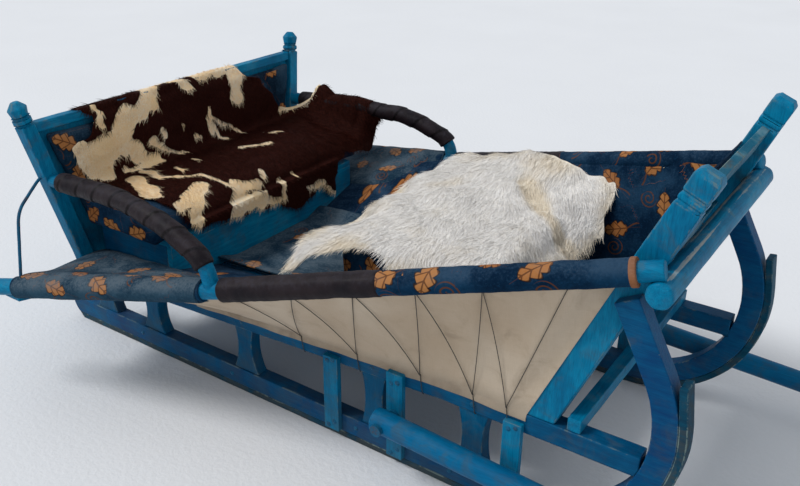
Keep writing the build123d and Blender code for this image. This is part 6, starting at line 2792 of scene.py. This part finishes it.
@dataclass
class Ironwork:
    """Stay rods behind, and the bolts and nails."""

    rod: float = 0.0048
    head: tuple[float, float, float] = (230.5, 563.2, 655.0)
    reach: tuple[float, float, float] = (0.0, 34.0, -18.0)
    bend: tuple[float, float, float] = (300.0, 719.0, 596.0)
    plate_face: float = 418.0
    sole_height: float = 50.0
    sill_face: float = -1.9601
    wall_foot: tuple[float, float] = (1845.2, 324.0)
    wall_slope: float = 0.4271

    def build(self, bench: Bench) -> None:
        """Makes the rods and the fastenings.

        Args:
            bench: Where the pieces are made ready.
        """
        for side in Side:
            self._stay(bench, side)
            bench.refinish(f"pivot_bolt_{side.word}", bench.palette.iron)
        self._fastenings(bench)

    def _stay(self, bench: Bench, side: Side) -> None:
        """The bent rod from the corner post to the pole."""
        turn = [at + more for at, more in zip(self.head, self.reach)]
        corners = (self.head, turn, self.bend, (self.bend[0], *POLE.at(self.bend[0])))
        line = rounded_line([LAYOUT.place(*corner, side) for corner in corners], [0.025, 0.060], 0.006)
        line = part_of_line(line, 0.026, line_length(line) - 0.022, 0.006)
        seed = 2.0 * side.value

        def radius(length: float, turn: float) -> float:
            return self.rod + ripple(Vector((length, turn * 0.01, 0)), 0.03, seed) * 0.0003

        rod = RoundStock(f"stay_rod_{side.word}", line, radius, 16, 0.001).build()
        bench.put(rod, bench.palette.iron, replaces=[f"stay_{side.word}"])

    def _fastenings(self, bench: Bench) -> None:
        """Nail and bolt heads on the plates, posts and boards, and tacks along the leather."""
        heads: list[tuple[Vector, Vector]] = []
        for side in Side:
            outward = Vector((0, side.value, 0))
            for station in (1205.0, 1425.0, 1776.0):
                top = RAIL.bottom(station) + 10.0
                for offset, height in ((-11.0, 40.0), (11.0, 58.0), (-9.0, top), (10.0, top + 8.0)):
                    heads.append((LAYOUT.place(station + offset, self.plate_face, height, side), outward))
            face = RAIL_FACE + 0.3
            for station in (430.0, 850.0, 1340.0, 1655.0):
                heads.append((LAYOUT.place(station, face, RAIL.bottom(station) + 24.0, side), outward))
                heads.append((LAYOUT.place(station - 60.0, face, self.sole_height, side), outward))
        painted = Studs("painted_heads", 0.0075, 0.0030, 6, 3).set_on(heads, bench.palette.iron)
        bench.put(painted, bench.palette.iron)
        nails: list[tuple[Vector, Vector]] = []
        for index in range(6):
            nails.append((Vector((self.sill_face, -0.44 + index * 0.176, 0.370)), Vector((1, 0, 0))))
        foot, level = self.wall_foot
        for up in (362.0, 402.0, 482.0, 542.0, 612.0, 670.0, 874.0, 906.0):
            station = foot + self.wall_slope * (up - level)
            for out in (-325.0, 325.0):
                nails.append((LAYOUT.place(station, out, up), Vector((0.92, 0, -0.39))))
        bare = Studs("nail_heads", 0.0038, 0.0016, 6, 5).set_on(nails, bench.palette.bare_iron)
        bench.put(bare, bench.palette.bare_iron)
        tacks: list[tuple[Vector, Vector]] = []
        for side in Side:
            for start, end, radius in ((700.0, 1100.0, 0.0331), (100.0, 690.0, 0.0318)):
                line = POLE.stretch(side, start, end, 0.045)
                for a, b in zip(line, line[1:]):
                    ahead = (b - a).normalized()
                    away = Vector((0, -side.value, -0.45))
                    away = (away - ahead * away.dot(ahead)).normalized()
                    tacks.append((a + away * radius, away))
        tacked = Studs("cloth_tacks", 0.0042, 0.0018, 8, 9).set_on(tacks, bench.palette.tack)
        bench.put(tacked, bench.palette.tack)


@dataclass
class Studs:
    """Small domed heads set on a surface."""

    name: str
    radius: float
    height: float
    sides: int
    seed: int

    def set_on(
        self, places: Sequence[tuple[Vector, Vector]], material: bpy.types.Material
    ) -> bpy.types.Object:
        """All the heads as one plain mesh.

        Args:
            places: Where each head sits and which way it faces.
            material: Their finish.

        Returns:
            The heads.
        """
        mesh = bpy.data.meshes.new(self.name)
        mesh.from_pydata([tuple(place) for place, _ in places], [], [])
        piece = bpy.data.objects.new(self.name, mesh)
        bpy.context.scene.collection.objects.link(piece)
        set_mark(piece, "facing", [facing for _, facing in places], "FLOAT_VECTOR")
        values = {
            "Radius": self.radius,
            "Height": self.height,
            "Sides": self.sides,
            "Seed": self.seed,
            "Finish": material,
        }
        run_nodes(piece, self._tree(), values)
        shade(piece, 45.0)
        return piece

    def _tree(self) -> bpy.types.NodeTree:
        """The node tree: one domed head on each point."""
        group = NodeSheet(f"{self.name}_tree")
        points = group.input("Geometry", "NodeSocketGeometry")
        radius = group.input("Radius", "NodeSocketFloat", 0.004)
        height = group.input("Height", "NodeSocketFloat", 0.002)
        sides = group.input("Sides", "NodeSocketInt", 6)
        seed = group.input("Seed", "NodeSocketInt", 1)
        finish = group.input("Finish", "NodeSocketMaterial")
        dome = group.node("GeometryNodeMeshUVSphere", None, {"Segments": sides, "Rings": 6, "Radius": 1.0})
        size = group.node("ShaderNodeCombineXYZ", None, {0: radius, 1: radius, 2: height})
        dome = group.node("GeometryNodeTransform", None, {"Geometry": dome, "Scale": size})
        facing = group.named("facing")
        turned = group.node("FunctionNodeAlignRotationToVector", {"axis": "Z"}, {"Vector": facing})
        vary = group.random(0.85, 1.15, seed)
        heads = group.node(
            "GeometryNodeInstanceOnPoints",
            None,
            {"Points": points, "Instance": dome, "Rotation": turned, "Scale": vary},
        )
        heads = group.node("GeometryNodeRealizeInstances", None, {0: heads})
        heads = group.node("GeometryNodeSetMaterial", None, {"Geometry": heads, "Material": finish})
        return group.end(heads)


@dataclass(frozen=True)
class Studio:
    """The floor, the lights and the camera at the photograph's angle."""

    eye: tuple[float, float, float] = (0.28935, -1.98439, 1.60099)
    yaw: float = 34.099
    pitch: float = 25.611
    roll: float = 0.581
    lens: float = 38.558
    sky: tuple[float, float, float] = (0.93, 0.96, 1.0)
    sky_strength: float = 0.62
    sun_strength: float = 1.6

    def build(self, bench: Bench) -> None:
        """Makes the camera, the lights and the floor.

        Args:
            bench: Holds the floor's finish.
        """
        self._camera()
        self._world()
        self._lamps()
        self._floor(bench)

    def _camera(self) -> None:
        """The camera, turned by yaw, pitch and roll."""
        yaw, pitch, roll = (math.radians(angle) for angle in (self.yaw, self.pitch, self.roll))
        ahead = Vector((-math.sin(yaw) * math.cos(pitch), math.cos(yaw) * math.cos(pitch), -math.sin(pitch)))
        level = Vector((math.cos(yaw), math.sin(yaw), 0))
        upward = level.cross(ahead)
        right = level * math.cos(roll) + upward * math.sin(roll)
        top = upward * math.cos(roll) - level * math.sin(roll)
        data = bpy.data.cameras.new("camera")
        data.lens = self.lens
        data.sensor_width = 36.0
        camera = bpy.data.objects.new("camera", data)
        turned = Matrix((right, top, -ahead)).transposed().to_4x4()
        camera.matrix_world = Matrix.Translation(self.eye) @ turned
        bpy.context.scene.collection.objects.link(camera)
        bpy.context.scene.camera = camera

    def _world(self) -> None:
        """A pale sky whose light is soft."""
        world = bpy.data.worlds.new("sky")
        world.use_nodes = True
        background = world.node_tree.nodes["Background"]
        background.inputs["Color"].default_value = (*self.sky, 1.0)
        background.inputs["Strength"].default_value = self.sky_strength
        bpy.context.scene.world = world
        bpy.context.scene.view_settings.view_transform = "Standard"

    def _lamps(self) -> None:
        """A low wide sun behind and to the left."""
        sun = bpy.data.lights.new("sun", "SUN")
        sun.energy = self.sun_strength
        sun.angle = math.radians(18.0)
        lamp = bpy.data.objects.new("sun", sun)
        lamp.rotation_euler = (math.radians(38.0), math.radians(-18.0), math.radians(-30.0))
        bpy.context.scene.collection.objects.link(lamp)

    def _floor(self, bench: Bench) -> None:
        """A wide floor at the ground, a little below the soles."""
        half = 9.0
        corners = [Vector((x * half, y * half, -0.0008)) for x, y in ((-1, -1), (1, -1), (1, 1), (-1, 1))]
        floor = mesh_piece("floor", corners, [(0, 1, 2, 3)], None, 30.0)
        floor.data.materials.append(bench.palette.ground)


def main() -> None:
    """Builds every sub-assembly in order."""
    logging.basicConfig(level=logging.INFO, format="%(name)s %(message)s", stream=sys.stdout)
    bench = Bench(Palette())
    Studio().build(bench)
    for kind in (TimberFrame, SidePoles, FrontLog, ArmRests, Shafts, SideCloths, Seat, Ironwork):
        LOG.info("building %s", kind.__name__)
        kind().build(bench)
    found = bpy.data.objects
    carriers = ["seat_cushion", "back_cushion", "arm_winding_left"]
    carriers += [f"{board}_timber" for board in ("back_rail", "seat_board", "seat_front_board", "seat_sides")]
    CowHide().build(bench, [found[name] for name in carriers])
    lower = DriversPlace().build(bench)
    body = ("lining_left_cloth", "lining_right_cloth", "pole_sleeves_left", "pole_left", "grip_left")
    Sheepskin().build(bench, [*lower, *(found[name] for name in body)])
    LOG.info("%d pieces", bench.count)
    bpy.context.view_layer.update()


if __name__ == "__main__":
    main()
